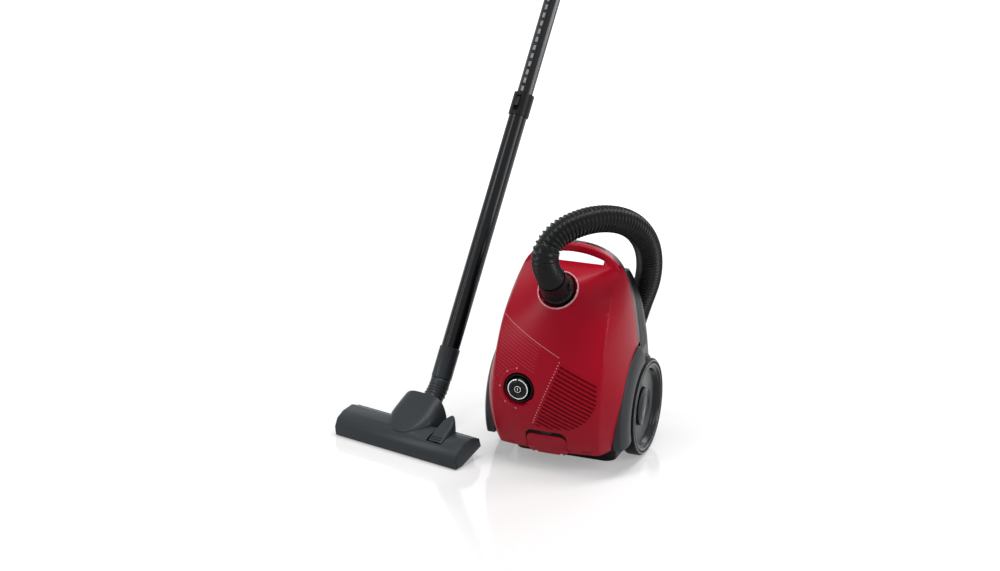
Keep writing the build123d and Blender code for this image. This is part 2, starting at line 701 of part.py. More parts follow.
with BuildPart() as wheel_tyre:
    with BuildSketch(wheel_plane) as tread:
        with Locations(((WHEEL_IN_X + WHEEL_OUT_X) / 2, (TYRE_BED_R + TYRE_R) / 2)):
            Rectangle(WHEEL_OUT_X - WHEEL_IN_X, TYRE_R - TYRE_BED_R)
        fillet(tread.vertices().group_by(Axis.Y)[-1], TYRE_ROUND)
    revolve(axis=WHEEL_AXIS)
with BuildPart() as wheel_cap:
    with BuildSketch(wheel_plane):
        with BuildLine():
            cap_out = web_out + HUB_CAP_DEPTH
            Polyline((cap_out, 0), (web_out, 0), (web_out, HUB_CAP_R), (cap_out - HUB_CAP_EDGE, HUB_CAP_R))
            Line((cap_out - HUB_CAP_EDGE, HUB_CAP_R), (cap_out, HUB_CAP_R - HUB_CAP_EDGE))
            Line((cap_out, HUB_CAP_R - HUB_CAP_EDGE), (cap_out, 0))
        make_face()
    revolve(axis=WHEEL_AXIS)
for name, piece in (("wheel_rim", wheel_rim), ("wheel_tyre", wheel_tyre), ("wheel_cap", wheel_cap)):
    keep(piece.part, f"right_{name}")
    with BuildPart() as left_piece:
        add(piece.part)
        mirror(about=Plane.YZ, mode=Mode.REPLACE)
    keep(left_piece.part, f"left_{name}")
axle_end = WELL_IN_X - WALL - AXLE_BOSS
with BuildPart() as wheel_axles:
    for side in (-1, 1):
        ends = sorted((side * axle_end, side * (web_out - SIDE_PLAY)))
        add(cross_rod(*ends, WHEEL_Y, WHEEL_Z, AXLE_R))
keep(wheel_axles.part, "wheel_axles")

# Lid hinge pin, latch tab and latch pin
keep(cross_rod(-LID_KNUCKLE_END, LID_KNUCKLE_END, SEAM_Y, HINGE_Z, HINGE_PIN_R), "lid_hinge_pin")
with BuildPart() as lid_latch:
    add(body_form(0, LATCH_FOOT_Z) & latch_outline(0, LATCH_FOOT_Z, LATCH_TOP_Z))
    add(body_form(LATCH_THICK, LATCH_FOOT_Z - 2 * LATCH_THICK), mode=Mode.SUBTRACT)
    add(slab(-BIG, LATCH_AXIS_Y + LATCH_BARREL_R), mode=Mode.INTERSECT)
    add(cross_rod(-LATCH_HALF_WIDTH, LATCH_HALF_WIDTH, LATCH_AXIS_Y, LATCH_AXIS_Z, LATCH_BARREL_R))
    for side in (-1, 1):
        with Locations((side * LATCH_NOTCH_X, LATCH_AXIS_Y, LATCH_FOOT_Z)):
            Cylinder(LATCH_NOTCH_R, 4 * LATCH_NOTCH_R, rotation=(90, 0, 0), mode=Mode.SUBTRACT)
    add(cross_rod(-BIG, BIG, LATCH_AXIS_Y, LATCH_AXIS_Z, LATCH_PIN_R + RUN_PLAY), mode=Mode.SUBTRACT)
keep(lid_latch.part, "lid_latch")
latch_pin_end = latch_width + WALL
keep(cross_rod(-latch_pin_end, latch_pin_end, LATCH_AXIS_Y, LATCH_AXIS_Z, LATCH_PIN_R), "latch_pin")

# Pale trim ring that follows the lid's surface round the inlet, and the seal under the dish
with BuildPart() as inlet_ring:
    add(body_form(-RING_PROUD) & inlet_rod(-BIG / 20, BIG, RING_R, RING_R - RING_WIDTH))
    add(outer_form, mode=Mode.SUBTRACT)
    add(inlet_rod(-DISH_SINK, BIG, RING_R), mode=Mode.INTERSECT)
keep(inlet_ring.part, "inlet_ring")
seal_top = -DISH_SINK - DISH_FLOOR
keep(inlet_rod(seal_top - SEAL_DEPTH, seal_top, DISH_BORE_R, CUFF_R + SEAM), "inlet_seal")

# Hose cuff that turns in the inlet, with its release button
button_plane = INLET_PLANE.offset(CUFF_BUTTON_RISE)
button_axis = Plane(origin=button_plane.origin, x_dir=INLET_DIR, z_dir=(1, 0, 0))
with BuildPart() as hose_cuff:
    with BuildSketch(Plane(origin=INLET_PLANE.origin, x_dir=(1, 0, 0), z_dir=INLET_DIR.cross(Vector(1, 0, 0)) * -1)):
        with BuildLine():
            collar_foot = -DISH_SINK + SIDE_PLAY
            Polyline(
                (CUFF_BORE_R, -CUFF_INSIDE),
                (CUFF_R, -CUFF_INSIDE),
                (CUFF_R, collar_foot),
                (CUFF_COLLAR_R, collar_foot),
                (CUFF_COLLAR_R, collar_foot + CUFF_COLLAR),
                (CUFF_R + WALL / 2, collar_foot + CUFF_COLLAR + WALL),
                (HOSE_R + WALL / 2, CUFF_LENGTH),
                (CUFF_BORE_R, CUFF_LENGTH),
                close=True,
            )
        make_face()
    revolve(axis=Axis(INLET_PLANE.origin, INLET_DIR))
    with BuildSketch(button_axis.offset(CUFF_BORE_R + WALL)):
        Circle(CUFF_BUTTON_R + RUN_PLAY)
    extrude(amount=BIG / 10, mode=Mode.SUBTRACT)
keep(hose_cuff.part, "hose_cuff")
with BuildPart() as cuff_release_button:
    with BuildSketch(button_axis.offset(CUFF_BORE_R + WALL + CUFF_BUTTON_TRAVEL)):
        Circle(CUFF_BUTTON_R)
    extrude(amount=CUFF_COLLAR_R + 1 - CUFF_BORE_R - WALL - CUFF_BUTTON_TRAVEL)
    fillet(cuff_release_button.edges().sort_by(Axis.X)[-1], 1.5)
keep(cuff_release_button.part, "cuff_release_button")

# Control turret with its well, the board at its foot, and the knob with its ring and power button
well_floor_y = TURRET_FACE_Y + WELL_SINK
with BuildPart() as control_turret:
    add(rod(KNOB_X, TURRET_FACE_Y, BULKHEAD_Y, KNOB_Z, TURRET_R))
    add(rod(KNOB_X, TURRET_FACE_Y, well_floor_y, KNOB_Z, TURRET_R - TURRET_WALL), mode=Mode.SUBTRACT)
    add(rod(KNOB_X, well_floor_y + 2 * TURRET_WALL, BULKHEAD_Y, KNOB_Z, TURRET_R - TURRET_WALL), mode=Mode.SUBTRACT)
    add(rod(KNOB_X, TURRET_FACE_Y, BULKHEAD_Y, KNOB_Z, KNOB_STEM_R + RUN_PLAY), mode=Mode.SUBTRACT)
keep(control_turret.part, "control_turret")
with BuildPart() as control_board:
    with Locations((KNOB_X, BULKHEAD_Y - BOARD / 2, KNOB_Z)):
        Box(BOARD_SIDE, BOARD, BOARD_SIDE)
    for i in range(3):
        with Locations((KNOB_X + (i - 1) * BOARD_SIDE / 4, BULKHEAD_Y - BOARD, KNOB_Z)):
            Box(BOARD_SIDE / 6, 4 * BOARD, BOARD_SIDE / (i + 2))
    add(slab(-BIG, BULKHEAD_Y), mode=Mode.INTERSECT)
keep(control_board.part, "control_board")
knob_foot_y = well_floor_y - SIDE_PLAY
knob_face_y = knob_foot_y - KNOB_DEPTH
ring_foot_y = knob_face_y + KNOB_RING_DEPTH
button_seat_y = knob_face_y + POWER_DEPTH + POWER_TRAVEL
with BuildPart() as control_knob:
    add(rod(KNOB_X, knob_face_y, knob_foot_y, KNOB_Z, KNOB_R))
    add(rod(KNOB_X, ring_foot_y, knob_foot_y, KNOB_Z, KNOB_RING_R))
    add(rod(KNOB_X, knob_foot_y, well_floor_y + 4 * TURRET_WALL, KNOB_Z, KNOB_STEM_R))
    add(rod(KNOB_X, knob_face_y, button_seat_y, KNOB_Z, POWER_R + RUN_PLAY), mode=Mode.SUBTRACT)
keep(control_knob.part, "control_knob")
with BuildPart() as knob_ring:
    add(rod(KNOB_X, knob_face_y, ring_foot_y, KNOB_Z, KNOB_RING_R, KNOB_R))
    chamfer(knob_ring.edges().group_by(Axis.Y)[0], KNOB_RING_EDGE)
keep(knob_ring.part, "knob_ring")
with BuildPart() as power_button:
    add(rod(KNOB_X, knob_face_y, knob_face_y + POWER_DEPTH, KNOB_Z, POWER_R))
    chamfer(power_button.edges().group_by(Axis.Y)[0], KNOB_RING_EDGE)
keep(power_button.part, "power_button")

# Motor: a housing flanged to the bulkhead, the core on its fins, the fan on the shaft
with BuildPart() as motor_housing:
    add(rod(MOTOR_X, MOTOR_FRONT_Y, MOTOR_BACK_Y, MOTOR_Z, MOTOR_R))
    add(rod(MOTOR_X, BULKHEAD_Y - BULKHEAD, BULKHEAD_Y, MOTOR_Z, MOTOR_FLANGE_R))
    add(rod(MOTOR_X, MOTOR_FRONT_Y + WALL, MOTOR_BACK_Y, MOTOR_Z, MOTOR_R - WALL), mode=Mode.SUBTRACT)
    add(rod(MOTOR_X, MOTOR_FRONT_Y, 0, MOTOR_Z, MOTOR_EYE_R), mode=Mode.SUBTRACT)
keep(motor_housing.part, "motor_housing")
with BuildPart() as motor_core:
    add(rod(MOTOR_X, CORE_FRONT_Y, CORE_BACK_Y, MOTOR_Z, CORE_R))
    with Locations(Plane(origin=(MOTOR_X, (CORE_FRONT_Y + CORE_BACK_Y) / 2, MOTOR_Z), z_dir=(0, -1, 0))):
        with PolarLocations((CORE_R + MOTOR_R - WALL) / 2, 4):
            Box(MOTOR_R - WALL - CORE_R + WALL, 2 * WALL, (CORE_BACK_Y - CORE_FRONT_Y) / 2)
    add(rod(MOTOR_X, CORE_FRONT_Y, CORE_BACK_Y, MOTOR_Z, MOTOR_R - WALL), mode=Mode.INTERSECT)
    add(rod(MOTOR_X, CORE_FRONT_Y, CORE_BACK_Y, MOTOR_Z, SHAFT_R + RUN_PLAY), mode=Mode.SUBTRACT)
keep(motor_core.part, "motor_core")
with BuildPart() as fan_impeller:
    add(rod(MOTOR_X, FAN_FRONT_Y + FAN_DEPTH - FAN_PLATE, FAN_FRONT_Y + FAN_DEPTH, MOTOR_Z, FAN_R))
    add(rod(MOTOR_X, FAN_FRONT_Y, FAN_FRONT_Y + FAN_DEPTH, MOTOR_Z, 2 * SHAFT_R))
    with Locations(Plane(origin=(MOTOR_X, FAN_FRONT_Y + FAN_DEPTH / 2, MOTOR_Z), z_dir=(0, -1, 0))):
        with PolarLocations((FAN_R + SHAFT_R) / 2, FAN_BLADES):
            Box(FAN_R - SHAFT_R - 2 * FAN_PLATE, FAN_PLATE, FAN_DEPTH, rotation=(0, 0, FAN_SWEEP_DEG))
    add(rod(MOTOR_X, FAN_FRONT_Y, FAN_FRONT_Y + FAN_DEPTH, MOTOR_Z, FAN_R), mode=Mode.INTERSECT)
    add(rod(MOTOR_X, FAN_FRONT_Y, CORE_BACK_Y, MOTOR_Z, SHAFT_R))
keep(fan_impeller.part, "fan_impeller")

# Cord reel on its axle, and the outlet for the cord
with BuildPart() as cord_reel:
    add(rod(REEL_X, REEL_FRONT_Y, REEL_BACK_Y, REEL_Z, REEL_R))
    add(rod(REEL_X, REEL_FRONT_Y + WALL, REEL_BACK_Y - WALL, REEL_Z, 2 * REEL_R, REEL_HUB_R), mode=Mode.SUBTRACT)
    add(rod(REEL_X, REEL_FRONT_Y, REEL_BACK_Y, REEL_Z, REEL_PIN_R + RUN_PLAY), mode=Mode.SUBTRACT)
    with Locations(Plane(origin=(REEL_X, REEL_FRONT_Y, REEL_Z), z_dir=(0, -1, 0))):
        with PolarLocations((REEL_R + REEL_HUB_R) / 2, 6):
            Cylinder((REEL_R - REEL_HUB_R) / 4, 4 * WALL, mode=Mode.SUBTRACT)
keep(cord_reel.part, "cord_reel")
keep(rod(REEL_X, BULKHEAD_Y, REEL_BACK_Y + WALL, REEL_Z, REEL_PIN_R), "reel_axle")
with BuildPart() as cord_outlet:
    add(rod(OUTLET_X, OUTLET_FACE_Y - 4 * WALL, OUTLET_FACE_Y, OUTLET_Z, OUTLET_R))
    add(rod(OUTLET_X, OUTLET_FACE_Y, OUTLET_FACE_Y + OUTLET_FLANGE, OUTLET_Z, OUTLET_FLANGE_R))
    add(rod(OUTLET_X, 0, BIG, OUTLET_Z, OUTLET_BORE_R), mode=Mode.SUBTRACT)
keep(cord_outlet.part, "cord_outlet")

# Dust chamber: shelf, motor filter, bag holder and bag
with BuildPart() as chamber_shelf:
    with BuildSketch(Plane.XY.offset(SHELF_Z)) as plan:
        with Locations((0, (SHELF_FRONT_Y + BULKHEAD_Y) / 2)):
            Rectangle(2 * SHELF_HALF_WIDTH, BULKHEAD_Y - SHELF_FRONT_Y)
        fillet(plan.vertices().group_by(Axis.Y)[0], BAG_ROUND)
    extrude(amount=WALL)
    with Locations((0, FILTER_Y, SHELF_Z)):
        with GridLocations(FILTER_HALF_WIDTH / 2, FILTER_HALF_DEPTH / 2, 4, 3):
            Box(FILTER_HALF_WIDTH / 3, FILTER_HALF_DEPTH / 3, 4 * WALL, mode=Mode.SUBTRACT)
keep(chamber_shelf.part, "chamber_shelf")
filter_top_z = SHELF_Z + WALL + FILTER_DEPTH
with BuildPart() as motor_filter:
    with Locations((0, FILTER_Y, filter_top_z - FILTER_DEPTH / 2)):
        Box(2 * FILTER_HALF_WIDTH, 2 * FILTER_HALF_DEPTH, FILTER_DEPTH)
    fillet(motor_filter.edges().filter_by(Axis.Z), FILTER_DEPTH / 2)
keep(motor_filter.part, "motor_filter")
holder_plane = INLET_PLANE.offset(-HOLDER_SINK)
arm_z = holder_plane.origin.Z
with BuildPart() as bag_holder:
    for side in (-1, 1):
        with Locations((side * (HOLDER_HALF_WIDTH - WALL / 2), (holder_plane.origin.Y + BULKHEAD_Y) / 2, arm_z)):
            Box(WALL, BULKHEAD_Y - holder_plane.origin.Y, 3 * WALL)
    with BuildSketch(holder_plane):
        RectangleRounded(2 * HOLDER_HALF_WIDTH, 2 * HOLDER_HALF_HEIGHT, WALL)
    extrude(amount=WALL)
    with BuildSketch(holder_plane):
        Circle(CUFF_R + SEAM)
    extrude(amount=BIG / 10, both=True, mode=Mode.SUBTRACT)
    add(slab(-BIG, BULKHEAD_Y), mode=Mode.INTERSECT)
keep(bag_holder.part, "bag_holder")
bag_foot_z = filter_top_z + SEAM / 2
with BuildPart() as dust_bag:
    with Locations((0, (BAG_FRONT_Y + BULKHEAD_Y - SEAM) / 2, (bag_foot_z + BAG_TOP_Z) / 2)):
        Box(2 * BAG_HALF_WIDTH, BULKHEAD_Y - SEAM - BAG_FRONT_Y, BAG_TOP_Z - bag_foot_z)
    fillet(dust_bag.edges(), BAG_ROUND)
    with BuildSketch(holder_plane.offset(-SEAM / 2)):
        Circle(CUFF_R + WALL)
    extrude(amount=-BAG_NECK)
keep(dust_bag.part, "dust_bag")

# Casing screws in the base shell's bosses
with BuildPart() as casing_screws:
    for side in (-1, 1):
        for height in SCREW_HEIGHTS:
            add(rod(side * SCREW_X, BULKHEAD_Y, SCREW_HEAD_Y, height, SCREW_R))
            add(rod(side * SCREW_X, SCREW_HEAD_Y, SCREW_HEAD_Y + SCREW_HEAD, height, SCREW_HEAD_R))
keep(casing_screws.part, "casing_screws")

# Caster: a fork that turns in the boss, its roller and the roller's axle
floor_y = WHEEL_Y + TYRE_R
roller_y = floor_y - CASTER_R
roller_z = CASTER_Z - CASTER_TRAIL
fork_plate_y = CASTER_FACE_Y + SIDE_PLAY
cheek_in = CASTER_HALF_WIDTH + SIDE_PLAY
with BuildPart() as caster_fork:
    add(rod(0, CASTER_FACE_Y - CASTER_BOSS_DEPTH, fork_plate_y, CASTER_Z, CASTER_STEM_R))
    add(rod(0, fork_plate_y, fork_plate_y + CASTER_CHEEK, CASTER_Z, CASTER_BOSS_R))
    for side in (-1, 1):
        with BuildSketch(Plane.YZ.offset(side * (cheek_in + CASTER_CHEEK / 2))):
            with BuildLine():
                cheek_top = CASTER_Z + CASTER_R / 2
                cheek_foot = roller_z - CASTER_R / 2
                Polyline(
                    (fork_plate_y, cheek_top),
                    (fork_plate_y, cheek_foot),
                    (roller_y, roller_z - CASTER_R / 2),
                    (roller_y + CASTER_R / 2, roller_z),
                    (roller_y, roller_z + CASTER_R / 2),
                    close=True,
                )
            make_face()
        extrude(amount=CASTER_CHEEK / 2, both=True)
    add(cross_rod(-BIG, BIG, roller_y, roller_z, CASTER_PIN_R), mode=Mode.SUBTRACT)
    add(cross_rod(-cheek_in, cheek_in, roller_y, roller_z, CASTER_R + SIDE_PLAY), mode=Mode.SUBTRACT)
keep(caster_fork.part, "caster_fork")
with BuildPart() as caster_roller:
    add(cross_rod(-CASTER_HALF_WIDTH, CASTER_HALF_WIDTH, roller_y, roller_z, CASTER_R))
    fillet(caster_roller.edges(), CASTER_CHEEK / 2)
    add(cross_rod(-BIG, BIG, roller_y, roller_z, CASTER_PIN_R + RUN_PLAY), mode=Mode.SUBTRACT)
keep(caster_roller.part, "caster_roller")
caster_pin_end = cheek_in + CASTER_CHEEK
keep(cross_rod(-caster_pin_end, caster_pin_end, roller_y, roller_z, CASTER_PIN_R), "caster_axle")

# Seal on the frame's front face, inside the lid's rim
with BuildPart() as lid_seal:
    add(body_form(WALL + SEAM))
    add(body_form(FRAME_WALL - SEAM), mode=Mode.SUBTRACT)
    add(slab(frame_front_y - LID_SEAL, frame_front_y, WHEEL_Z + ARCH_R + WALL, BOW_FOOT_Z - SEAM),
        mode=Mode.INTERSECT)
keep(lid_seal.part, "lid_seal")

# Suction hose: a bore inside ribs that are lofted along the filleted route
hose_start = INLET_PLANE.origin + INLET_DIR * CUFF_LENGTH
hose_points = [hose_start, hose_start + INLET_DIR * HOSE_FIRST_RUN] + [Vector(*p) for p in HOSE_ROUTE]
hose_radii = []
for before, corner, after in zip(hose_points, hose_points[1:], hose_points[2:]):
    turn = radians((corner - before).get_angle(after - corner))
    run = min((corner - before).length, (after - corner).length)
    hose_radii.append(HOSE_TANGENT_SHARE * run / tan(turn / 2))
print("hose bend radii", [round(radius) for radius in hose_radii])
with BuildLine() as hose_line:
    FilletPolyline(*hose_points, radius=hose_radii)
hose_path = hose_line.wires()[0]
print("hose length", round(hose_path.length))


def hose_ring(share):
    # Plane square to the hose's middle line, its X axis held level
    heading = hose_path % share
    level = heading.cross(Vector(*HOSE_STEADY))
    return Plane(origin=hose_path @ share, x_dir=level, z_dir=heading)


ring_spots = [hose_path @ (i / HOSE_RIBS) for i in range(HOSE_RIBS + 1)]
pitch = hose_path.length / HOSE_RIBS
apart = int(HOSE_SELF_RUN / pitch)
self_gap = min(
    (ring_spots[i] - ring_spots[j]).length
    for i in range(len(ring_spots)) for j in range(i + apart, len(ring_spots)))
print("least gap of the hose to itself", round(self_gap - 2 * HOSE_R, 1))
hose_stretches = []
for stretch in range(0, HOSE_RIBS, HOSE_STRETCH):
    rows = [(stretch, HOSE_VALLEY_R)]
    for rib in range(stretch, stretch + HOSE_STRETCH):
        rows += [(rib + share, radius) for share, radius in HOSE_RIB_FORM]
    with BuildPart() as hose_stretch:
        for spot, radius in rows + [(stretch + HOSE_STRETCH, HOSE_VALLEY_R)]:
            with BuildSketch(hose_ring(spot / HOSE_RIBS)):
                Circle(radius)
        loft(ruled=True)
        for spot in range(stretch, stretch + HOSE_STRETCH + 1):
            with BuildSketch(hose_ring(spot / HOSE_RIBS)):
                Circle(HOSE_BORE_R)
        loft(ruled=True, mode=Mode.SUBTRACT)
    hose_stretches.append(hose_stretch.part)
with BuildPart() as suction_hose:
    add(hose_stretches[0].fuse(*hose_stretches[1:]))
keep(suction_hose.part, "suction_hose")

# Hose end on the floor: cuff, bent grip with its spigot, and the air slider on the grip
end_heading = (hose_points[-1] - hose_points[-2]).normalized()
grip_frame = Plane(origin=hose_points[-1], x_dir=(0, 0, 1), z_dir=end_heading)
with BuildPart() as grip_cuff:
    with BuildSketch(grip_frame):
        Circle(GRIP_CUFF_R)
        Circle(HOSE_BORE_R, mode=Mode.SUBTRACT)
    extrude(amount=GRIP_CUFF)
    chamfer(grip_cuff.edges().filter_by(GeomType.CIRCLE).sort_by(SortBy.RADIUS)[-2:], WALL / 2)
keep(grip_cuff.part, "grip_cuff")
grip_start = hose_points[-1] + end_heading * GRIP_CUFF
grip_heading = end_heading.rotate(Axis.Z, GRIP_TURN_DEG)
grip_corner = grip_start + end_heading * GRIP_RUN
grip_end = grip_corner + grip_heading * GRIP_RUN
with BuildPart() as hose_grip:
    with BuildLine() as grip_line:
        FilletPolyline(grip_start, grip_corner, grip_end, radius=GRIP_BEND_R)
    with BuildSketch(Plane(origin=grip_start, z_dir=end_heading)):
        Circle(GRIP_R)
        Circle(GRIP_BORE_R, mode=Mode.SUBTRACT)
    sweep()
    with BuildSketch(Plane(origin=grip_end, z_dir=grip_heading)):
        Circle(INNER_BORE_R - SIDE_PLAY / 2)
        Circle(GRIP_BORE_R, mode=Mode.SUBTRACT)
    extrude(amount=GRIP_SPIGOT)
    with Locations(Plane(origin=grip_corner + grip_heading * GRIP_VENT_RUN, x_dir=(0, 0, 1), z_dir=grip_heading)):
        with Locations((GRIP_R, 0, 0)):
            Box(2 * GRIP_R - 2 * GRIP_BORE_R, GRIP_VENT_WIDTH + 2 * RUN_PLAY, GRIP_VENT, mode=Mode.SUBTRACT)
keep(hose_grip.part, "hose_grip")
with BuildPart() as grip_air_slider:
    with Locations(Plane(origin=grip_corner + grip_heading * GRIP_VENT_RUN, x_dir=(0, 0, 1), z_dir=grip_heading)):
        with Locations((GRIP_R + WALL / 2, 0, -GRIP_VENT / 4)):
            Box(WALL, 2 * GRIP_VENT_WIDTH, GRIP_VENT / 2)
        with Locations((GRIP_R - WALL / 2, 0, -GRIP_VENT / 4)):
            Box(WALL, GRIP_VENT_WIDTH, GRIP_VENT / 2)
keep(grip_air_slider.part, "grip_air_slider")


def nozzle_form(inset):
    # Low body of the floor nozzle, drawn in by the inset and open below
    with BuildPart() as form:
        with BuildSketch(Plane.YZ) as side:
            with BuildLine():
                Polyline(*NOZZLE_PROFILE, close=True)
            make_face()
            fillet(side.vertices().group_by(Axis.Z)[1:], NOZZLE_ROUND)
            if inset:
                offset(amount=-inset)
        extrude(amount=NOZZLE_WIDTH / 2 - inset, both=True)
        add(slab(-BIG, BIG, SOLE_Z), mode=Mode.INTERSECT)
        for side_x in (-NOZZLE_END_X, NOZZLE_END_X):
            with BuildSketch(Plane.YZ.offset(side_x)):
                with BuildLine():
                    Polyline(*NOZZLE_END_LIFT, close=True)
                make_face()
            extrude(amount=BIG if side_x > 0 else -BIG, mode=Mode.SUBTRACT)
    return form.part


def hood_form(inset):
    # Cowl over the neck, lofted through arched sections, drawn in by the inset
    with BuildPart() as form:
        for y, half, foot, top in HOOD_SECTIONS:
            crown = foot + (top - inset - foot) * 4 / 3
            full = HOOD_FULLNESS * (half - inset)
            with BuildSketch(Plane.XZ.offset(-y)):
                with BuildLine():
                    Bezier((inset - half, foot), (-full, crown), (full, crown), (half - inset, foot))
                    Line((half - inset, foot), (inset - half, foot))
                make_face()
        loft(ruled=True)
    return form.part


def pedal_outline(grow, z_from, z_to):
    # Pedal plan: square in front, rounded behind
    with BuildPart() as form:
        with BuildSketch(Plane.XY.offset(z_from)) as plan:
            with Locations((PEDAL_X, (PEDAL_FRONT_Y + PEDAL_BACK_Y) / 2)):
                Rectangle(2 * (PEDAL_HALF_WIDTH + grow), PEDAL_BACK_Y - PEDAL_FRONT_Y + 2 * grow)
            fillet(plan.vertices().group_by(Axis.Y)[0], WALL)
            fillet(plan.vertices().group_by(Axis.Y)[-1], PEDAL_HALF_WIDTH - WALL)
        extrude(amount=z_to - z_from)
    return form.part


# Floor nozzle: cover with the hood and cheeks that carry the neck
pocket_half = PIVOT_HALF + SIDE_PLAY
hood_half = pocket_half + CHEEK
pedal_ear = PEDAL_HALF_WIDTH + PEDAL_GAP
neck_lean = radians(NECK_LEAN_DEG)
slot_rise = PIVOT_R + SEAM
slot_front = PIVOT_Y - slot_rise * cos(neck_lean)
slot_top = PIVOT_Z + slot_rise * sin(neck_lean)
slot_back = slot_front + NECK_SLOT_REACH * sin(neck_lean)
with BuildPart() as nozzle_cover:
    add(nozzle_form(0))
    add(nozzle_form(NOZZLE_WALL), mode=Mode.SUBTRACT)
    add(hood_form(0))
    add(cross_rod(-hood_half, hood_half, PIVOT_Y, PIVOT_Z, PIVOT_R - WALL))
    add(nozzle_form(NOZZLE_WALL) & slab(-BIG, PIVOT_Y - PIVOT_R), mode=Mode.SUBTRACT)
    add(hood_form(HOOD_WALL) & slab(HOOD_MOUTH_Y, BIG), mode=Mode.SUBTRACT)
    add(pedal_outline(PEDAL_GAP, 0, BIG), mode=Mode.SUBTRACT)
    add(cross_rod(-pocket_half, pocket_half, PIVOT_Y, PIVOT_Z, slot_rise), mode=Mode.SUBTRACT)
    with BuildSketch(Plane.YZ):
        with BuildLine():
            Polyline(
                (slot_front, slot_top),
                (slot_back, slot_top + NECK_SLOT_REACH * cos(neck_lean)),
                (slot_back, NECK_SLOT_FOOT_Z),
                (PIVOT_Y, NECK_SLOT_FOOT_Z),
                (PIVOT_Y, PIVOT_Z),
                close=True,
            )
        make_face()
    extrude(amount=pocket_half, both=True, mode=Mode.SUBTRACT)
    add(cross_rod(-BIG, BIG, PIVOT_Y, PIVOT_Z, PIVOT_PIN_R + RUN_PLAY), mode=Mode.SUBTRACT)
    for side in (-1, 1):
        ear_x = PEDAL_X + side * (pedal_ear + WALL / 2)
        with Locations((ear_x, PEDAL_PIN_Y, (PEDAL_EAR_FOOT_Z + PEDAL_EAR_TOP_Z) / 2)):
            Box(WALL, 4 * PEDAL_PIN_R, PEDAL_EAR_TOP_Z - PEDAL_EAR_FOOT_Z)
    add(cross_rod(0, BIG, PEDAL_PIN_Y, PEDAL_PIN_Z, PEDAL_PIN_R), mode=Mode.SUBTRACT)
keep(nozzle_cover.part, "nozzle_cover", NOZZLE_PLACE)
with BuildPart() as nozzle_sole:
    add(nozzle_form(NOZZLE_WALL) & slab(-BIG, BIG, SOLE_Z, SOLE_Z + SOLE))
    with Locations((0, SLOT_Y, SOLE_Z)):
        Box(SLOT_LENGTH, SLOT_WIDTH, 4 * SOLE, mode=Mode.SUBTRACT)
    with Locations((0, BRUSH_Y, SOLE_Z)):
        Box(BRUSH_LENGTH + 2 * SIDE_PLAY, BRUSH_WIDTH + 2 * SIDE_PLAY, 4 * SOLE, mode=Mode.SUBTRACT)
    for side in (-1, 1):
        with Locations((side * ROLLER_X, ROLLER_Y, SOLE_Z)):
            Box(ROLLER_WIDTH + 2 * WALL, 2 * ROLLER_R + WALL, 4 * SOLE, mode=Mode.SUBTRACT)
        with Locations((side * (ROLLER_X - ROLLER_WIDTH / 2 - 2 * WALL), ROLLER_Y, SOLE_Z + SOLE)):
            Box(WALL, 4 * ROLLER_PIN_R, 4 * SOLE)
        with Locations((side * GLIDE_X, GLIDE_Y, SOLE_Z / 2)):
            Cylinder(GLIDE_R, SOLE_Z)
    add(cross_rod(-BIG, BIG, ROLLER_Y, ROLLER_R, ROLLER_PIN_R + RUN_PLAY), mode=Mode.SUBTRACT)
    add(slab(-BIG, BIG, 0, BIG), mode=Mode.INTERSECT)
keep(nozzle_sole.part, "nozzle_sole", NOZZLE_PLACE)
roller_pin_end = ROLLER_X + ROLLER_WIDTH / 2
with BuildPart() as nozzle_rollers:
    add(cross_rod(-roller_pin_end, roller_pin_end, ROLLER_Y, ROLLER_R, ROLLER_PIN_R))
    for side in (-1, 1):
        middle = side * ROLLER_X
        add(cross_rod(middle - ROLLER_WIDTH / 2, middle + ROLLER_WIDTH / 2, ROLLER_Y, ROLLER_R, ROLLER_R))
keep(nozzle_rollers.part, "nozzle_rollers", NOZZLE_PLACE)
with BuildPart() as brush_strip:
    with Locations((0, BRUSH_Y, SOLE_Z + SOLE + BRUSH_BACK / 2 + SEAM)):
        Box(BRUSH_LENGTH, BRUSH_WIDTH, BRUSH_BACK)
    with Locations((0, BRUSH_Y, (BRUSH_TIP_Z + SOLE_Z + SOLE + SEAM) / 2)):
        Box(BRUSH_LENGTH, BRUSH_WIDTH / 2, SOLE_Z + SOLE + SEAM - BRUSH_TIP_Z)
keep(brush_strip.part, "brush_strip", NOZZLE_PLACE)

# Pedal on its pin
with BuildPart() as mode_pedal:
    add(pedal_outline(0, PEDAL_FOOT_Z, PEDAL_TOP_Z))
    with BuildSketch(Plane.YZ):
        with BuildLine():
            Polyline(*PEDAL_PROFILE, close=True)
        make_face()
    extrude(amount=BIG, both=True, mode=Mode.INTERSECT)
    fillet(mode_pedal.faces().sort_by(Axis.Z)[-1].edges(), WALL / 2)
    add(cross_rod(0, BIG, PEDAL_PIN_Y, PEDAL_PIN_Z, PEDAL_PIN_R + RUN_PLAY), mode=Mode.SUBTRACT)
keep(mode_pedal.part, "mode_pedal", NOZZLE_PLACE)
pedal_pin_end = pedal_ear + WALL
keep(cross_rod(PEDAL_X - pedal_pin_end, PEDAL_X + pedal_pin_end, PEDAL_PIN_Y, PEDAL_PIN_Z, PEDAL_PIN_R),
     "pedal_pin", NOZZLE_PLACE)

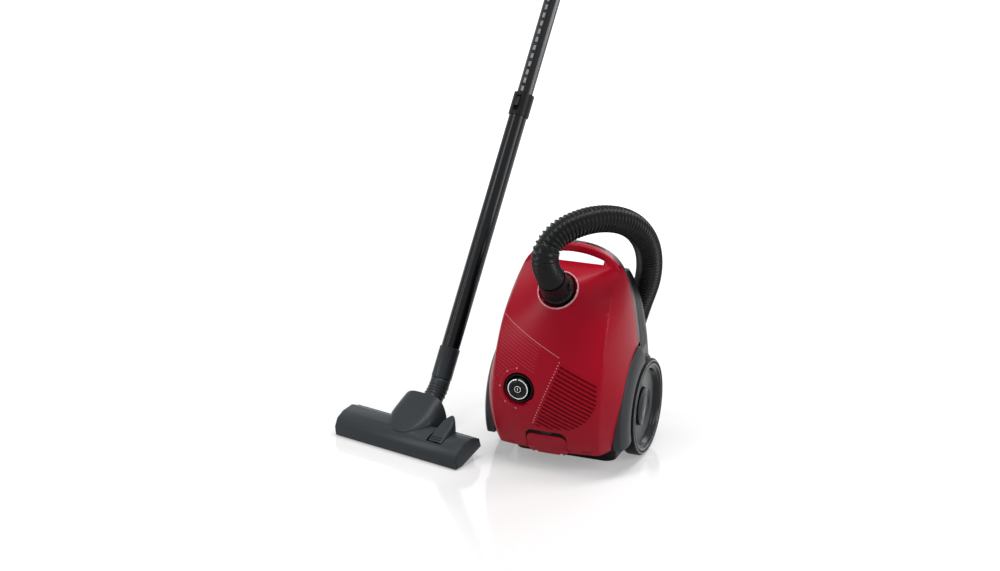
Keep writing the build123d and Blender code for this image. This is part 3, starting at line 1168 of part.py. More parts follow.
# Neck: a barrel on stub pins, and the elbow that ends in the wand's spigot
lean = radians(WAND_LEAN_DEG)
neck_top = Vector(0, BEND_Y + NECK_END * sin(lean), BEND_Z + NECK_END * cos(lean))
wand_dir = Vector(0, sin(lean), cos(lean))
neck_dir = Vector(0, BEND_Y - PIVOT_Y, BEND_Z - PIVOT_Z).normalized()
neck_foot = Vector(0, PIVOT_Y, PIVOT_Z)
with BuildPart() as nozzle_neck:
    with BuildLine() as neck_line:
        FilletPolyline(neck_foot, (0, BEND_Y, BEND_Z), neck_top, radius=NECK_BEND_R)
    with BuildSketch(Plane(origin=neck_foot, z_dir=neck_dir)):
        Circle(NECK_R)
    sweep()
    with BuildSketch(Plane(origin=neck_top, z_dir=wand_dir)):
        Circle(SPIGOT_R)
    extrude(amount=SPIGOT)
    add(cross_rod(-PIVOT_HALF, PIVOT_HALF, PIVOT_Y, PIVOT_Z, PIVOT_R))
    add(cross_rod(-hood_half, hood_half, PIVOT_Y, PIVOT_Z, PIVOT_PIN_R))
    with BuildLine() as neck_air:
        FilletPolyline(neck_foot, (0, BEND_Y, BEND_Z), neck_top + wand_dir * SPIGOT, radius=NECK_BEND_R)
    with BuildSketch(Plane(origin=neck_foot, z_dir=neck_dir)):
        Circle(NECK_BORE_R)
    sweep(path=neck_air.wires()[0], mode=Mode.SUBTRACT)
    with BuildSketch(Plane.XY.offset(PIVOT_Z - PIVOT_R)):
        with Locations((0, PIVOT_Y)):
            Circle(NECK_BORE_R - WALL)
    extrude(amount=PIVOT_R, mode=Mode.SUBTRACT)
keep(nozzle_neck.part, "nozzle_neck", NOZZLE_PLACE)


def tube(z_from, z_to, radius, bore):
    # Straight tube up the wand's own axis
    with BuildPart() as pipe:
        with BuildSketch(Plane.XY.offset(z_from)):
            Circle(radius)
            Circle(bore, mode=Mode.SUBTRACT)
        extrude(amount=z_to - z_from)
    return pipe.part


# Telescopic wand, built upright on its own axis and leaned into place
wand_foot = NECK_END + SIDE_PLAY
keep(tube(wand_foot, OUTER_TOP, OUTER_R, OUTER_BORE_R), "outer_tube", WAND_PLACE)
with BuildPart() as wand_sleeve:
    add(tube(wand_foot, SLEEVE_TOP, SLEEVE_R, OUTER_R))
    chamfer(wand_sleeve.edges().group_by(Axis.Z)[-1].sort_by(SortBy.RADIUS)[-1], SIDE_PLAY)
keep(wand_sleeve.part, "wand_sleeve", WAND_PLACE)
face_turn = (0, 0, WAND_FACE_DEG)
with BuildPart() as inner_tube:
    add(tube(INNER_FOOT, INNER_TOP, INNER_R, INNER_BORE_R))
    add(tube(INNER_FOOT, INNER_FOOT + INNER_GUIDE, OUTER_BORE_R - RUN_PLAY, INNER_BORE_R))
    for i in range(RATCHET_COUNT):
        with Locations(Location((0, 0, LOCK_TOP + RATCHET_PITCH * (i + 0.5)), face_turn)):
            with Locations((INNER_R, 0, 0)):
                Box(INNER_R - INNER_BORE_R, RATCHET_WIDTH, RATCHET_LENGTH, mode=Mode.SUBTRACT)
keep(inner_tube.part, "inner_tube", WAND_PLACE)
lock_middle = (LOCK_FOOT + LOCK_TOP) / 2
with BuildPart() as lock_collar:
    add(tube(LOCK_FOOT, OUTER_TOP, LOCK_R, OUTER_R))
    add(tube(OUTER_TOP, LOCK_TOP, LOCK_R, INNER_R + RUN_PLAY))
    with Locations(Location((0, 0, lock_middle), face_turn)):
        with Locations((LOCK_R, 0, 0)):
            Box(2 * LOCK_GROOVE, SLIDER_WIDTH + 2 * RUN_PLAY, SLIDER_LENGTH + 2 * SLIDER_TRAVEL, mode=Mode.SUBTRACT)
keep(lock_collar.part, "lock_collar", WAND_PLACE)
with BuildPart() as lock_slider:
    with Locations(Location((0, 0, lock_middle + SLIDER_TRAVEL / 2), face_turn)):
        with Locations((LOCK_R - LOCK_GROOVE + SLIDER_RISE / 2, 0, 0)):
            Box(SLIDER_RISE, SLIDER_WIDTH, SLIDER_LENGTH)
    fillet(lock_slider.edges().filter_by(Axis.Z), SIDE_PLAY)
keep(lock_slider.part, "lock_slider", WAND_PLACE)
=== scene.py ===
import json
import math

import bpy
from mathutils import Matrix, Vector
from mathutils.bvhtree import BVHTree

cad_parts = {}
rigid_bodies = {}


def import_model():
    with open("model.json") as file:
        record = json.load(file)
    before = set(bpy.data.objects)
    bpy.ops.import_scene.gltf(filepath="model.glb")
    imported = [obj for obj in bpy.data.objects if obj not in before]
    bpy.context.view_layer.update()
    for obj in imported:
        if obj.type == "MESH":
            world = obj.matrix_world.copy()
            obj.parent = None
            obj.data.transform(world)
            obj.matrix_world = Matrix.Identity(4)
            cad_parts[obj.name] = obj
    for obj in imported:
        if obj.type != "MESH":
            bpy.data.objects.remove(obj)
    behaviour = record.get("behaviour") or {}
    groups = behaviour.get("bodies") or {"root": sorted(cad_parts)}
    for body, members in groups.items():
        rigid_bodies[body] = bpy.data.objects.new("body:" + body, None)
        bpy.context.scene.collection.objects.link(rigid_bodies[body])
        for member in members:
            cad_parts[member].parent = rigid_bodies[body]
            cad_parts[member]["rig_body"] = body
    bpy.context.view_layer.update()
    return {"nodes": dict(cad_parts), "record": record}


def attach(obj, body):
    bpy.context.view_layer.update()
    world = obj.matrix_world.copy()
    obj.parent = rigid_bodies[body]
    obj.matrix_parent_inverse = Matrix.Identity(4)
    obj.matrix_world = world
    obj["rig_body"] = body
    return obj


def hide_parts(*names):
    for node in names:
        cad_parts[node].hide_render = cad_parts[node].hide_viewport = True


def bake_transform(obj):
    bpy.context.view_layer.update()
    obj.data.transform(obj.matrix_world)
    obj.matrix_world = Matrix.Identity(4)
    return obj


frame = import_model()
nodes = frame["nodes"]
print("frame loaded,", len(nodes), "solids")

bpy.context.scene.view_settings.view_transform = "Standard"

upright = (0, 0, 0)
quarterTurn = math.radians(90)


# Small helpers shared by every piece

def deselectAll():
    if bpy.context.object and bpy.context.object.mode != "OBJECT":
        bpy.ops.object.mode_set(mode="OBJECT")
    bpy.ops.object.select_all(action="DESELECT")


def pick(obj):
    deselectAll()
    obj.select_set(True)
    bpy.context.view_layer.objects.active = obj


def link(obj):
    bpy.context.scene.collection.objects.link(obj)


def enterEdit():
    bpy.ops.object.mode_set(mode="EDIT")


def leaveEdit():
    bpy.ops.object.mode_set(mode="OBJECT")


def editAll(obj):
    # Edit mode with the whole mesh selected
    pick(obj)
    enterEdit()
    bpy.ops.mesh.select_all(action="SELECT")


def clearSelection(obj, kind):
    # Nothing selected in the mesh, so that code can select by place
    pick(obj)
    enterEdit()
    bpy.ops.mesh.select_mode(type=kind)
    bpy.ops.mesh.select_all(action="DESELECT")
    leaveEdit()


def applyPlace():
    bpy.ops.object.transform_apply(location=True, rotation=True, scale=True)


def applyModifiers(obj):
    pick(obj)
    for modifier in list(obj.modifiers):
        bpy.ops.object.modifier_apply(modifier=modifier.name)


def softenEdges(obj, width, degrees):
    # Small bevel on the edges that are sharper than an angle
    soft = obj.modifiers.new("soft", "BEVEL")
    soft.width = width
    soft.segments = 2
    soft.limit_method = "ANGLE"
    soft.angle_limit = math.radians(degrees)


def thicken(obj, thickness, offset):
    wall = obj.modifiers.new("wall", "SOLIDIFY")
    wall.thickness = thickness
    wall.offset = offset


def smoothByAngle(obj, degrees):
    pick(obj)
    bpy.ops.object.shade_smooth_by_angle(angle=math.radians(degrees))


def setMaterial(obj, material):
    obj.data.materials.clear()
    obj.data.materials.append(material)


def dress(obj, degrees, material, body):
    smoothByAngle(obj, degrees)
    setMaterial(obj, material)
    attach(obj, body)


copyFinish = {"mergeGap": 0.00001, "edgeAngle": 40, "smooth": 32}


def smoothCopy(node, material, bevel):
    # Merged, smooth-shaded copy of a solid that stands in its place
    copy = bpy.data.objects.new(node + ".finish", nodes[node].data.copy())
    link(copy)
    editAll(copy)
    bpy.ops.mesh.remove_doubles(threshold=copyFinish["mergeGap"])
    leaveEdit()
    if bevel:
        softenEdges(copy, bevel, copyFinish["edgeAngle"])
        applyModifiers(copy)
    smoothByAngle(copy, copyFinish["smooth"])
    setMaterial(copy, material)
    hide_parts(node)
    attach(copy, nodes[node]["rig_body"])
    return copy


# Shader groups that every finish uses

mixA, mixB, mixResult = 6, 7, 2  # colour sockets of a Mix node


def rgba(colour):
    return (*colour, 1.0)


def mathNode(tree, operation, first, second):
    node = tree.nodes.new("ShaderNodeMath")
    node.operation = operation
    tree.links.new(first, node.inputs[0])
    tree.links.new(second, node.inputs[1])
    return node


def newGroup(name, inputs, outputs):
    group = bpy.data.node_groups.new(name, "ShaderNodeTree")
    for label, kind, value in inputs:
        socket = group.interface.new_socket(name=label, in_out="INPUT", socket_type=kind)
        if value is not None:
            socket.default_value = value
    for label, kind in outputs:
        group.interface.new_socket(name=label, in_out="OUTPUT", socket_type=kind)
    return group, group.nodes.new("NodeGroupInput"), group.nodes.new("NodeGroupOutput")


def buildGrainGroup():
    # Fine moulded grain, with a slow drift of shade and gloss
    group, start, end = newGroup(
        "mouldedGrain",
        [("Vector", "NodeSocketVector", None),
         ("Grain Scale", "NodeSocketFloat", 1800.0),
         ("Drift Scale", "NodeSocketFloat", 14.0)],
        [("Height", "NodeSocketFloat"), ("Drift", "NodeSocketFloat")])
    for scale, detail, result in (("Grain Scale", 2.0, "Height"), ("Drift Scale", 3.0, "Drift")):
        texture = group.nodes.new("ShaderNodeTexNoise")
        texture.inputs["Detail"].default_value = detail
        group.links.new(start.outputs["Vector"], texture.inputs["Vector"])
        group.links.new(start.outputs[scale], texture.inputs["Scale"])
        group.links.new(texture.outputs["Fac"], end.inputs[result])
    return group


def buildDustGroup():
    # Thin dust that settles on faces that look up
    group, start, end = newGroup(
        "settledDust",
        [("Vector", "NodeSocketVector", None),
         ("Colour", "NodeSocketColor", (0.1, 0.1, 0.1, 1)),
         ("Dust", "NodeSocketColor", (0.4, 0.39, 0.37, 1)),
         ("Amount", "NodeSocketFloat", 0.06)],
        [("Colour", "NodeSocketColor")])
    geometry = group.nodes.new("ShaderNodeNewGeometry")
    split = group.nodes.new("ShaderNodeSeparateXYZ")
    group.links.new(geometry.outputs["Normal"], split.inputs["Vector"])
    speck = group.nodes.new("ShaderNodeTexNoise")
    speck.inputs["Scale"].default_value = 90.0
    speck.inputs["Detail"].default_value = 4.0
    group.links.new(start.outputs["Vector"], speck.inputs["Vector"])
    facing = mathNode(group, "MULTIPLY", split.outputs["Z"], speck.outputs["Fac"])
    facing.use_clamp = True
    share = mathNode(group, "MULTIPLY", facing.outputs["Value"], start.outputs["Amount"])
    mix = group.nodes.new("ShaderNodeMix")
    mix.data_type = "RGBA"
    group.links.new(share.outputs["Value"], mix.inputs["Factor"])
    group.links.new(start.outputs["Colour"], mix.inputs[mixA])
    group.links.new(start.outputs["Dust"], mix.inputs[mixB])
    group.links.new(mix.outputs[mixResult], end.inputs["Colour"])
    return group


grainGroup = buildGrainGroup()
dustGroup = buildDustGroup()

# What a finish has where it doesn't say otherwise; driftDark darkens its colour for the drift
plainFinish = {
    "driftScale": 14.0,
    "driftDark": 0.82,
    "dust": 0.03,
    "roughSpread": 0.03,
    "bumpDepth": 0.0001,
    "metal": 0.0,
    "shine": 0.3,
}


def finishMaterial(name, values):
    # Moulded or metal finish from one dictionary of values
    look = {**plainFinish, **values}
    material = bpy.data.materials.new(name)
    material.use_nodes = True
    tree = material.node_tree
    shader = tree.nodes["Principled BSDF"]
    place = tree.nodes.new("ShaderNodeTexCoord")
    grain = tree.nodes.new("ShaderNodeGroup")
    grain.node_tree = grainGroup
    grain.inputs["Grain Scale"].default_value = look["grainScale"]
    grain.inputs["Drift Scale"].default_value = look["driftScale"]
    tree.links.new(place.outputs["Object"], grain.inputs["Vector"])
    darker = [channel * look["driftDark"] for channel in look["colour"]]
    shade = tree.nodes.new("ShaderNodeMix")
    shade.data_type = "RGBA"
    shade.inputs[mixA].default_value = rgba(look["colour"])
    shade.inputs[mixB].default_value = rgba(look.get("drift", darker))
    tree.links.new(grain.outputs["Drift"], shade.inputs["Factor"])
    dust = tree.nodes.new("ShaderNodeGroup")
    dust.node_tree = dustGroup
    dust.inputs["Amount"].default_value = look["dust"]
    tree.links.new(place.outputs["Object"], dust.inputs["Vector"])
    tree.links.new(shade.outputs[mixResult], dust.inputs["Colour"])
    tree.links.new(dust.outputs["Colour"], shader.inputs["Base Color"])
    gloss = tree.nodes.new("ShaderNodeMapRange")
    gloss.inputs["To Min"].default_value = look["rough"] - look["roughSpread"]
    gloss.inputs["To Max"].default_value = look["rough"] + look["roughSpread"]
    tree.links.new(grain.outputs["Drift"], gloss.inputs["Value"])
    tree.links.new(gloss.outputs["Result"], shader.inputs["Roughness"])
    bump = tree.nodes.new("ShaderNodeBump")
    bump.inputs["Strength"].default_value = look["bump"]
    bump.inputs["Distance"].default_value = look["bumpDepth"]
    tree.links.new(grain.outputs["Height"], bump.inputs["Height"])
    tree.links.new(bump.outputs["Normal"], shader.inputs["Normal"])
    shader.inputs["Metallic"].default_value = look["metal"]
    shader.inputs["Specular IOR Level"].default_value = look["shine"]
    return material


finishes = {
    "red": dict(colour=(0.31, 0.0010, 0.013), drift=(0.28, 0.0008, 0.011), rough=0.33, shine=0.13,
                grainScale=900, bump=0.02, dust=0.0),
    # Darker red of the strips between the lid ribs: painted shade of the grooves
    "groove_shade_red": dict(colour=(0.15, 0.0010, 0.004), rough=0.5, shine=0.05,
                    grainScale=900, bump=0.02, dust=0.0),
    "print_pale": dict(colour=(0.62, 0.26, 0.30), rough=0.5, shine=0.1,
                       grainScale=900, bump=0.02, dust=0.0),
    "print_faint": dict(colour=(0.40, 0.045, 0.07), rough=0.5, shine=0.1,
                        grainScale=900, bump=0.02, dust=0.0),
    "mark_dark": dict(colour=(0.006, 0.006, 0.007), rough=0.5,
                      grainScale=1500, bump=0.05, dust=0.0),
    "frame_grey": dict(colour=(0.036, 0.039, 0.044), rough=0.32, shine=0.16,
                       grainScale=2600, bump=0.15, dust=0.0),
    "shell_black": dict(colour=(0.007, 0.007, 0.008), rough=0.34, shine=0.12,
                        grainScale=2200, bump=0.35, dust=0.0),
    "tyre_black": dict(colour=(0.005, 0.005, 0.006), rough=0.45, shine=0.06,
                       grainScale=1500, bump=0.25, dust=0.0),
    # Light grey: a painted highlight on the wheel rim rings, and the grey of the ratchet pads
    "rim_highlight_and_pad_grey": dict(colour=(0.11, 0.115, 0.12), rough=0.25, shine=0.4,
                     grainScale=2400, bump=0.05, dust=0.0),
    "rim_grey": dict(colour=(0.014, 0.016, 0.018), rough=0.24, shine=0.16,
                     grainScale=2400, bump=0.12, dust=0.0),
    "steel": dict(colour=(0.55, 0.55, 0.56), rough=0.3, grainScale=3000, bump=0.05, metal=1.0),
    "silver": dict(colour=(0.72, 0.72, 0.73), rough=0.22, grainScale=3000, bump=0.03, metal=1.0),
    # Pale pink of the inlet's rim ring is a painted highlight where the ring's edge catches the
    # light
    "ring_pale": dict(colour=(0.72, 0.33, 0.36), rough=0.35, grainScale=1500, bump=0.03),
    "seal": dict(colour=(0.02, 0.02, 0.02), rough=0.7, grainScale=1500, bump=0.2),
    "hose_black": dict(colour=(0.004, 0.0045, 0.005), rough=0.26, shine=0.14,
                       grainScale=1600, bump=0.08, dust=0.0),
    "nozzle_grey": dict(colour=(0.032, 0.037, 0.042), rough=0.34, shine=0.14,
                        grainScale=2600, bump=0.15, dust=0.0),
    "wand_black": dict(colour=(0.003, 0.0036, 0.0048), rough=0.18, shine=0.2,
                       grainScale=1200, bump=0.015, dust=0.0),
    "motor_iron": dict(colour=(0.2, 0.19, 0.18), rough=0.5, grainScale=700, bump=0.4, metal=1.0),
    "inner_grey": dict(colour=(0.2, 0.2, 0.2), rough=0.5, grainScale=1500, bump=0.2),
    "paper": dict(colour=(0.7, 0.66, 0.58), rough=0.9, grainScale=500, bump=0.5),
    "foam": dict(colour=(0.05, 0.05, 0.06), rough=0.95, grainScale=400, bump=0.9),
    "board": dict(colour=(0.02, 0.12, 0.05), rough=0.4, grainScale=900, bump=0.1),
    "bristle": dict(colour=(0.03, 0.03, 0.03), rough=0.8, grainScale=2500, bump=0.8),
    "aluminium_fan": dict(colour=(0.6, 0.6, 0.61), rough=0.35, grainScale=1500, bump=0.1,
                          metal=1.0),
}
looks = {name: finishMaterial(name, values) for name, values in finishes.items()}
slotOf = {entry["node"]: entry["material_slot"] for entry in frame["record"]["subparts"]}
print("finishes ready:", len(looks))

# Solids out of sight, and those that lie with the hose, keep their own meshes
plainSolids = {
    "control_board", "motor_core", "motor_housing", "fan_impeller", "cord_reel", "reel_axle",
    "exhaust_filter", "motor_filter", "casing_screws", "lid_hinge_pin", "latch_pin", "pedal_pin",
    "caster_axle", "lid_seal", "inlet_seal", "wheel_axles", "chamber_shelf", "bag_holder",
    "suction_hose", "grip_cuff", "hose_grip", "grip_air_slider",
}
edgeBreak = {
    "nozzle_cover": 0.0012, "mode_pedal": 0.0012, "lid_latch": 0.0008,
    "right_fender": 0.0008, "left_fender": 0.0008,
    "right_wheel_rim": 0.0006, "left_wheel_rim": 0.0006,
}
finished = {}
for node in sorted(nodes):
    slot = slotOf[node]
    if node in plainSolids:
        setMaterial(nodes[node], looks[slot])
    else:
        finished[node] = smoothCopy(node, looks[slot], edgeBreak.get(node, 0.0))
print("solids dressed:", len(finished))

# Lid skin: the smooth form that the front and the flanks of the lid follow. Each level has its
# height, front at the middle, crease x and y, bulge of the flank and half width at the seam
lid = {
    "levels": (
        (0.014, -0.078, 0.0820, -0.070, 0.0100, 0.112),
        (0.070, -0.104, 0.0900, -0.095, 0.0150, 0.120),
        (0.127, -0.112, 0.0925, -0.103, 0.0160, 0.121),
        (0.190, -0.102, 0.0930, -0.090, 0.0080, 0.114),
        (0.250, -0.083, 0.0895, -0.063, 0.0050, 0.106),
        (0.291, -0.066, 0.0840, -0.026, 0.0030, 0.098),
        (0.315, -0.049, 0.0790, 0.006, 0.0015, 0.090),
        (0.328, -0.024, 0.0730, 0.017, 0.0008, 0.082),
        (0.335, 0.008, 0.0640, 0.024, 0.0005, 0.074),
    ),
    "seamY": 0.030,
    "frontShare": 0.62,
    "columns": 150,
    "rows": 160,
    "endMargin": 0.0001,
    "skinGap": 0.0025,  # faces of the solid this near the form, and turned like it, are skin
    "skinFacing": 0.9,
    "cuts": (((0, 0, 1), 0.040, 0.335), ((1, 0, 0), -0.117, 0.117)),
    "cutStep": 0.006,
    "mergeGap": 0.0004,
    "formSmooth": 14,
    "skinSmooth": 60,
}


def levelRise(index, column):
    low = lid["levels"][max(index - 1, 0)]
    high = lid["levels"][min(index + 1, len(lid["levels"]) - 1)]
    return (high[column] - low[column]) / (high[0] - low[0])


def lidLevel(height):
    # Values at a height, on a smooth curve through the levels
    row = max(i for i in range(len(lid["levels"]) - 1) if lid["levels"][i][0] <= height)
    low, high = lid["levels"][row], lid["levels"][row + 1]
    span = high[0] - low[0]
    t = (height - low[0]) / span
    return [(1 + 2 * t) * (1 - t) ** 2 * low[k] + t * (1 - t) ** 2 * span * levelRise(row, k)
            + t * t * (3 - 2 * t) * high[k] - t * t * (1 - t) * span * levelRise(row + 1, k)
            for k in range(1, len(low))]


def lidPoint(across, height):
    front, creaseX, creaseY, bulge, sideX = lidLevel(height)
    share = lid["frontShare"]
    if abs(across) <= share:
        x = creaseX * across / share
        return Vector((x, front + (creaseY - front) * (x / creaseX) ** 2, height))
    t = (abs(across) - share) / (1 - share)
    crease, side = Vector((creaseX, creaseY)), Vector((sideX, lid["seamY"]))
    chord = (side - crease).normalized()
    flank = (crease + side) / 2 + Vector((chord.y, -chord.x)) * 2 * bulge
    spot = crease * (1 - t) ** 2 + flank * 2 * t * (1 - t) + side * t * t
    return Vector((math.copysign(spot.x, across), spot.y, height))


deselectAll()
bpy.ops.mesh.primitive_grid_add(x_subdivisions=lid["columns"], y_subdivisions=lid["rows"], size=2)
lidForm = bpy.context.object
lidForm.name = "lidForm"
lowest = lid["levels"][0][0] + lid["endMargin"]
highest = lid["levels"][-1][0] - lid["endMargin"]
for vertex in lidForm.data.vertices:
    vertex.co = lidPoint(vertex.co.x, lowest + (highest - lowest) * (vertex.co.y + 1) / 2)
lidForm.data.update()
lidTree = BVHTree.FromObject(lidForm, bpy.context.evaluated_depsgraph_get())

# The faces of the solid that lie on the form are parted from it, cut finer and drawn to the form
lidShell = finished["dust_lid"]
clearSelection(lidShell, "FACE")
for polygon in lidShell.data.polygons:
    spot, facing, index, distance = lidTree.find_nearest(polygon.center)
    alike = facing.dot(polygon.normal) > lid["skinFacing"]
    polygon.select = distance < lid["skinGap"] and alike
enterEdit()
bpy.ops.mesh.separate(type="SELECTED")
bpy.ops.mesh.select_mode(type="VERT")
leaveEdit()
lidSkin = [obj for obj in bpy.context.selected_objects if obj != lidShell][0]
lidSkin.name = "lidSkin"
editAll(lidSkin)
for heading, start, end in lid["cuts"]:
    axis = Vector(heading)
    for step in range(int((end - start) / lid["cutStep"])):
        bpy.ops.mesh.select_all(action="SELECT")
        bpy.ops.mesh.bisect(plane_co=axis * (start + step * lid["cutStep"]), plane_no=axis)
bpy.ops.mesh.select_all(action="SELECT")
bpy.ops.mesh.remove_doubles(threshold=lid["mergeGap"])
leaveEdit()
cling = lidSkin.modifiers.new("cling", "SHRINKWRAP")
cling.target = lidForm
cling.wrap_method = "NEAREST_SURFACEPOINT"
applyModifiers(lidSkin)
smoothByAngle(lidForm, lid["formSmooth"])
smoothByAngle(lidSkin, lid["skinSmooth"])
shade = lidSkin.modifiers.new("shade", "DATA_TRANSFER")
shade.object = lidForm
shade.use_loop_data = True
shade.data_types_loops = {"CUSTOM_NORMAL"}
shade.loop_mapping = "POLYINTERP_NEAREST"
applyModifiers(lidSkin)
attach(lidSkin, "lid")
print("lid skin", len(lidSkin.data.polygons), "faces")


# Thin strips and dots laid on a surface, then thickened outward

laid = {"standOff": 0.25, "step": 0.004, "sideSteps": 6, "dotSides": 14,
        "edgeAngle": 50, "smooth": 35}


def strip(start, end, width):
    # Flat strip between two points of the front, given as x and z, standing before it
    run = Vector((end[0] - start[0], end[1] - start[1]))
    middle = ((start[0] + end[0]) / 2, -laid["standOff"], (start[1] + end[1]) / 2)
    deselectAll()
    bpy.ops.mesh.primitive_grid_add(
        x_subdivisions=max(1, int(run.length / laid["step"])), y_subdivisions=1, size=1,
        location=middle, rotation=(quarterTurn, -math.atan2(run.y, run.x), 0))
    piece = bpy.context.object
    piece.scale = (run.length, width, 1)
    return piece


def sideStrip(side, startY, endY, height, width):
    # Level flat strip standing beside the body
    deselectAll()
    bpy.ops.mesh.primitive_grid_add(
        x_subdivisions=laid["sideSteps"], y_subdivisions=1, size=1,
        location=(side * laid["standOff"], (startY + endY) / 2, height),
        rotation=(quarterTurn, 0, side * quarterTurn))
    piece = bpy.context.object
    piece.scale = (endY - startY, width, 1)
    return piece


def dot(spot, radius):
    deselectAll()
    bpy.ops.mesh.primitive_circle_add(
        vertices=laid["dotSides"], radius=radius, fill_type="NGON",
        location=(spot[0], -laid["standOff"], spot[1]), rotation=(quarterTurn, 0, 0))
    return bpy.context.object


def layOn(pieces, name, target, height, material, body, axis="y", outward=-1, edge=0.0):
    # Join flat pieces, drop them on the target and give them their thickness
    deselectAll()
    for piece in pieces:
        piece.select_set(True)
    bpy.context.view_layer.objects.active = pieces[0]
    bpy.ops.object.join()
    joined = bpy.context.object
    joined.name = name
    applyPlace()
    drop = joined.modifiers.new("drop", "SHRINKWRAP")
    drop.target = target
    drop.wrap_method = "PROJECT"
    drop.use_project_y = axis == "y"
    drop.use_project_x = axis == "x"
    drop.use_positive_direction = outward < 0
    drop.use_negative_direction = outward > 0
    thicken(joined, height, 1.0)
    if edge:
        softenEdges(joined, edge, laid["edgeAngle"])
    applyModifiers(joined)
    dress(joined, laid["smooth"], material, body)


def between(a, b, share):
    return (a[0] + (b[0] - a[0]) * share, a[1] + (b[1] - a[1]) * share)


# Printed lines, raised ribs and painted shade strips between the ribs on the lid, x and z on its
# front
trim = {
    "line": ((-0.0898, 0.2567), (0.0211, 0.2053)),
    "lineWidth": 0.0010,
    "dashCount": 34,
    "dashShare": 0.72,
    "dots": ((0.0212, 0.1981), (-0.0200, 0.0918)),
    "dotCount": 23,
    "dotRadius": 0.0010,
    "paleHeight": 0.00025,
    "faintHeight": 0.0002,
    "ribSlope": -0.43,
    "ribPitch": 0.0074,
    "ribCount": 18,
    "ribTop": (0.0239, 0.1985),
    "ribEnds": (0.015, 0.985),
    "ribWidth": 0.0030,
    "ribHeight": 0.0010,
    "ribEdge": 0.0004,
    "grooveShadeWidth": 0.0034,
    "grooveShadeHeight": 0.0002,
    "shortest": 0.006,  # ribs and stripes shorter than this are left out
    "ribField": (
        (0.0239, 0.1979), (0.0850, 0.1717), (0.0872, 0.1500), (0.0868, 0.1321),
        (0.0803, 0.1174), (0.0722, 0.1053), (0.0588, 0.0942), (0.0447, 0.0867),
        (0.0181, 0.0838), (0.0009, 0.0849), (-0.0170, 0.0875),
    ),
    "stripeCount": 17,
    "stripePitch": 0.0055,
    "stripeWidth": 0.0007,
    "stripeLeft": -0.0890,
    "stripeRun": 0.078,
    "stripeTaper": 0.001,
    "stripeFall": 0.45,
    "stripeStep": 0.002,
    "stripeClear": 0.004,
    "dialMiddle": (-0.0465, 0.146),
    "dialRadius": 0.0335,
    "dialWidth": 0.0007,
    "dialSpan": (95.0, 268.0),
    "dialSteps": 22,
    "dialMarks": (98.0, 130.0, 180.0, 228.0, 264.0),
    "dialMarkRadius": 0.0014,
}
dialX, dialZ = trim["dialMiddle"]


def crossings(height, slope, outline):
    # Ends of a slanted line inside a closed outline
    hits = []
    for a, b in zip(outline, outline[1:] + outline[:1]):
        sideA = a[1] - height - slope * a[0]
        sideB = b[1] - height - slope * b[0]
        if sideA * sideB < 0:
            hits.append(between(a, b, sideA / (sideA - sideB)))
    return sorted(hits)


def dialSpot(degrees):
    turn = math.radians(degrees)
    return (dialX + trim["dialRadius"] * math.cos(turn),
            dialZ + trim["dialRadius"] * math.sin(turn))


pale = []
for i in range(trim["dashCount"]):
    start = between(*trim["line"], i / trim["dashCount"])
    end = between(*trim["line"], (i + trim["dashShare"]) / trim["dashCount"])
    pale.append(strip(start, end, trim["lineWidth"]))
for i in range(trim["dotCount"]):
    pale.append(dot(between(*trim["dots"], i / (trim["dotCount"] - 1)), trim["dotRadius"]))
for angle in trim["dialMarks"]:
    pale.append(dot(dialSpot(angle), trim["dialMarkRadius"]))
layOn(pale, "lidMarks", lidSkin, trim["paleHeight"], looks["print_pale"], "lid")

firstTurn, lastTurn = trim["dialSpan"]
turns = [firstTurn + (lastTurn - firstTurn) * i / trim["dialSteps"]
         for i in range(trim["dialSteps"] + 1)]
faint = [strip(dialSpot(a), dialSpot(b), trim["dialWidth"]) for a, b in zip(turns, turns[1:])]
dialClear = trim["dialRadius"] + trim["stripeClear"]
for i in range(1, trim["stripeCount"] + 1):
    start = (trim["stripeLeft"], trim["line"][0][1] - i * trim["stripePitch"])
    run = 0.0
    while run < trim["stripeRun"] - trim["stripeTaper"] * i:
        end = (start[0] + run, start[1] - trim["stripeFall"] * run)
        if math.hypot(end[0] - dialX, end[1] - dialZ) < dialClear:
            break
        run += trim["stripeStep"]
    if run > trim["shortest"]:
        faint.append(strip(start, end, trim["stripeWidth"]))
layOn(faint, "lidStripes", lidSkin, trim["faintHeight"], looks["print_faint"], "lid")

# Dark red strips laid between the raised ribs are painted shade in the grooves
bars, grooveShades = [], []
ribRows = ((bars, 0.0, trim["ribWidth"]), (grooveShades, -0.5 * trim["ribPitch"], trim["grooveShadeWidth"]))
ribBase = trim["ribTop"][1] - trim["ribSlope"] * trim["ribTop"][0]
for i in range(trim["ribCount"]):
    base = ribBase - (i + 0.5) * trim["ribPitch"]
    for store, shift, width in ribRows:
        ends = crossings(base + shift, trim["ribSlope"], trim["ribField"])
        if len(ends) == 2 and ends[1][0] - ends[0][0] > trim["shortest"]:
            start, end = [between(*ends, share) for share in trim["ribEnds"]]
            store.append(strip(start, end, width))
layOn(grooveShades, "lidRibGrooveShade", lidSkin, trim["grooveShadeHeight"], looks["groove_shade_red"], "lid")
layOn(bars, "lidRibs", lidSkin, trim["ribHeight"], looks["red"], "lid", edge=trim["ribEdge"])
bpy.data.objects.remove(lidForm)
print("lid print and ribs laid")

# Ribs along both sides of the black shell; backY pairs a height with the depth they run to
shellRibs = {
    "lowest": 0.182,
    "count": 31,
    "pitch": 0.0042,
    "width": 0.0019,
    "height": 0.0007,
    "frontY": 0.0475,
    "backY": ((0.180, 0.090), (0.250, 0.077), (0.291, 0.062), (0.320, 0.050)),
}


def alongPairs(pairs, at):
    # Value on straight lines through pairs, level past the last of them
    for (lowAt, low), (highAt, high) in zip(pairs, pairs[1:]):
        if at <= highAt:
            return low + (high - low) * (at - lowAt) / (highAt - lowAt)
    return pairs[-1][1]


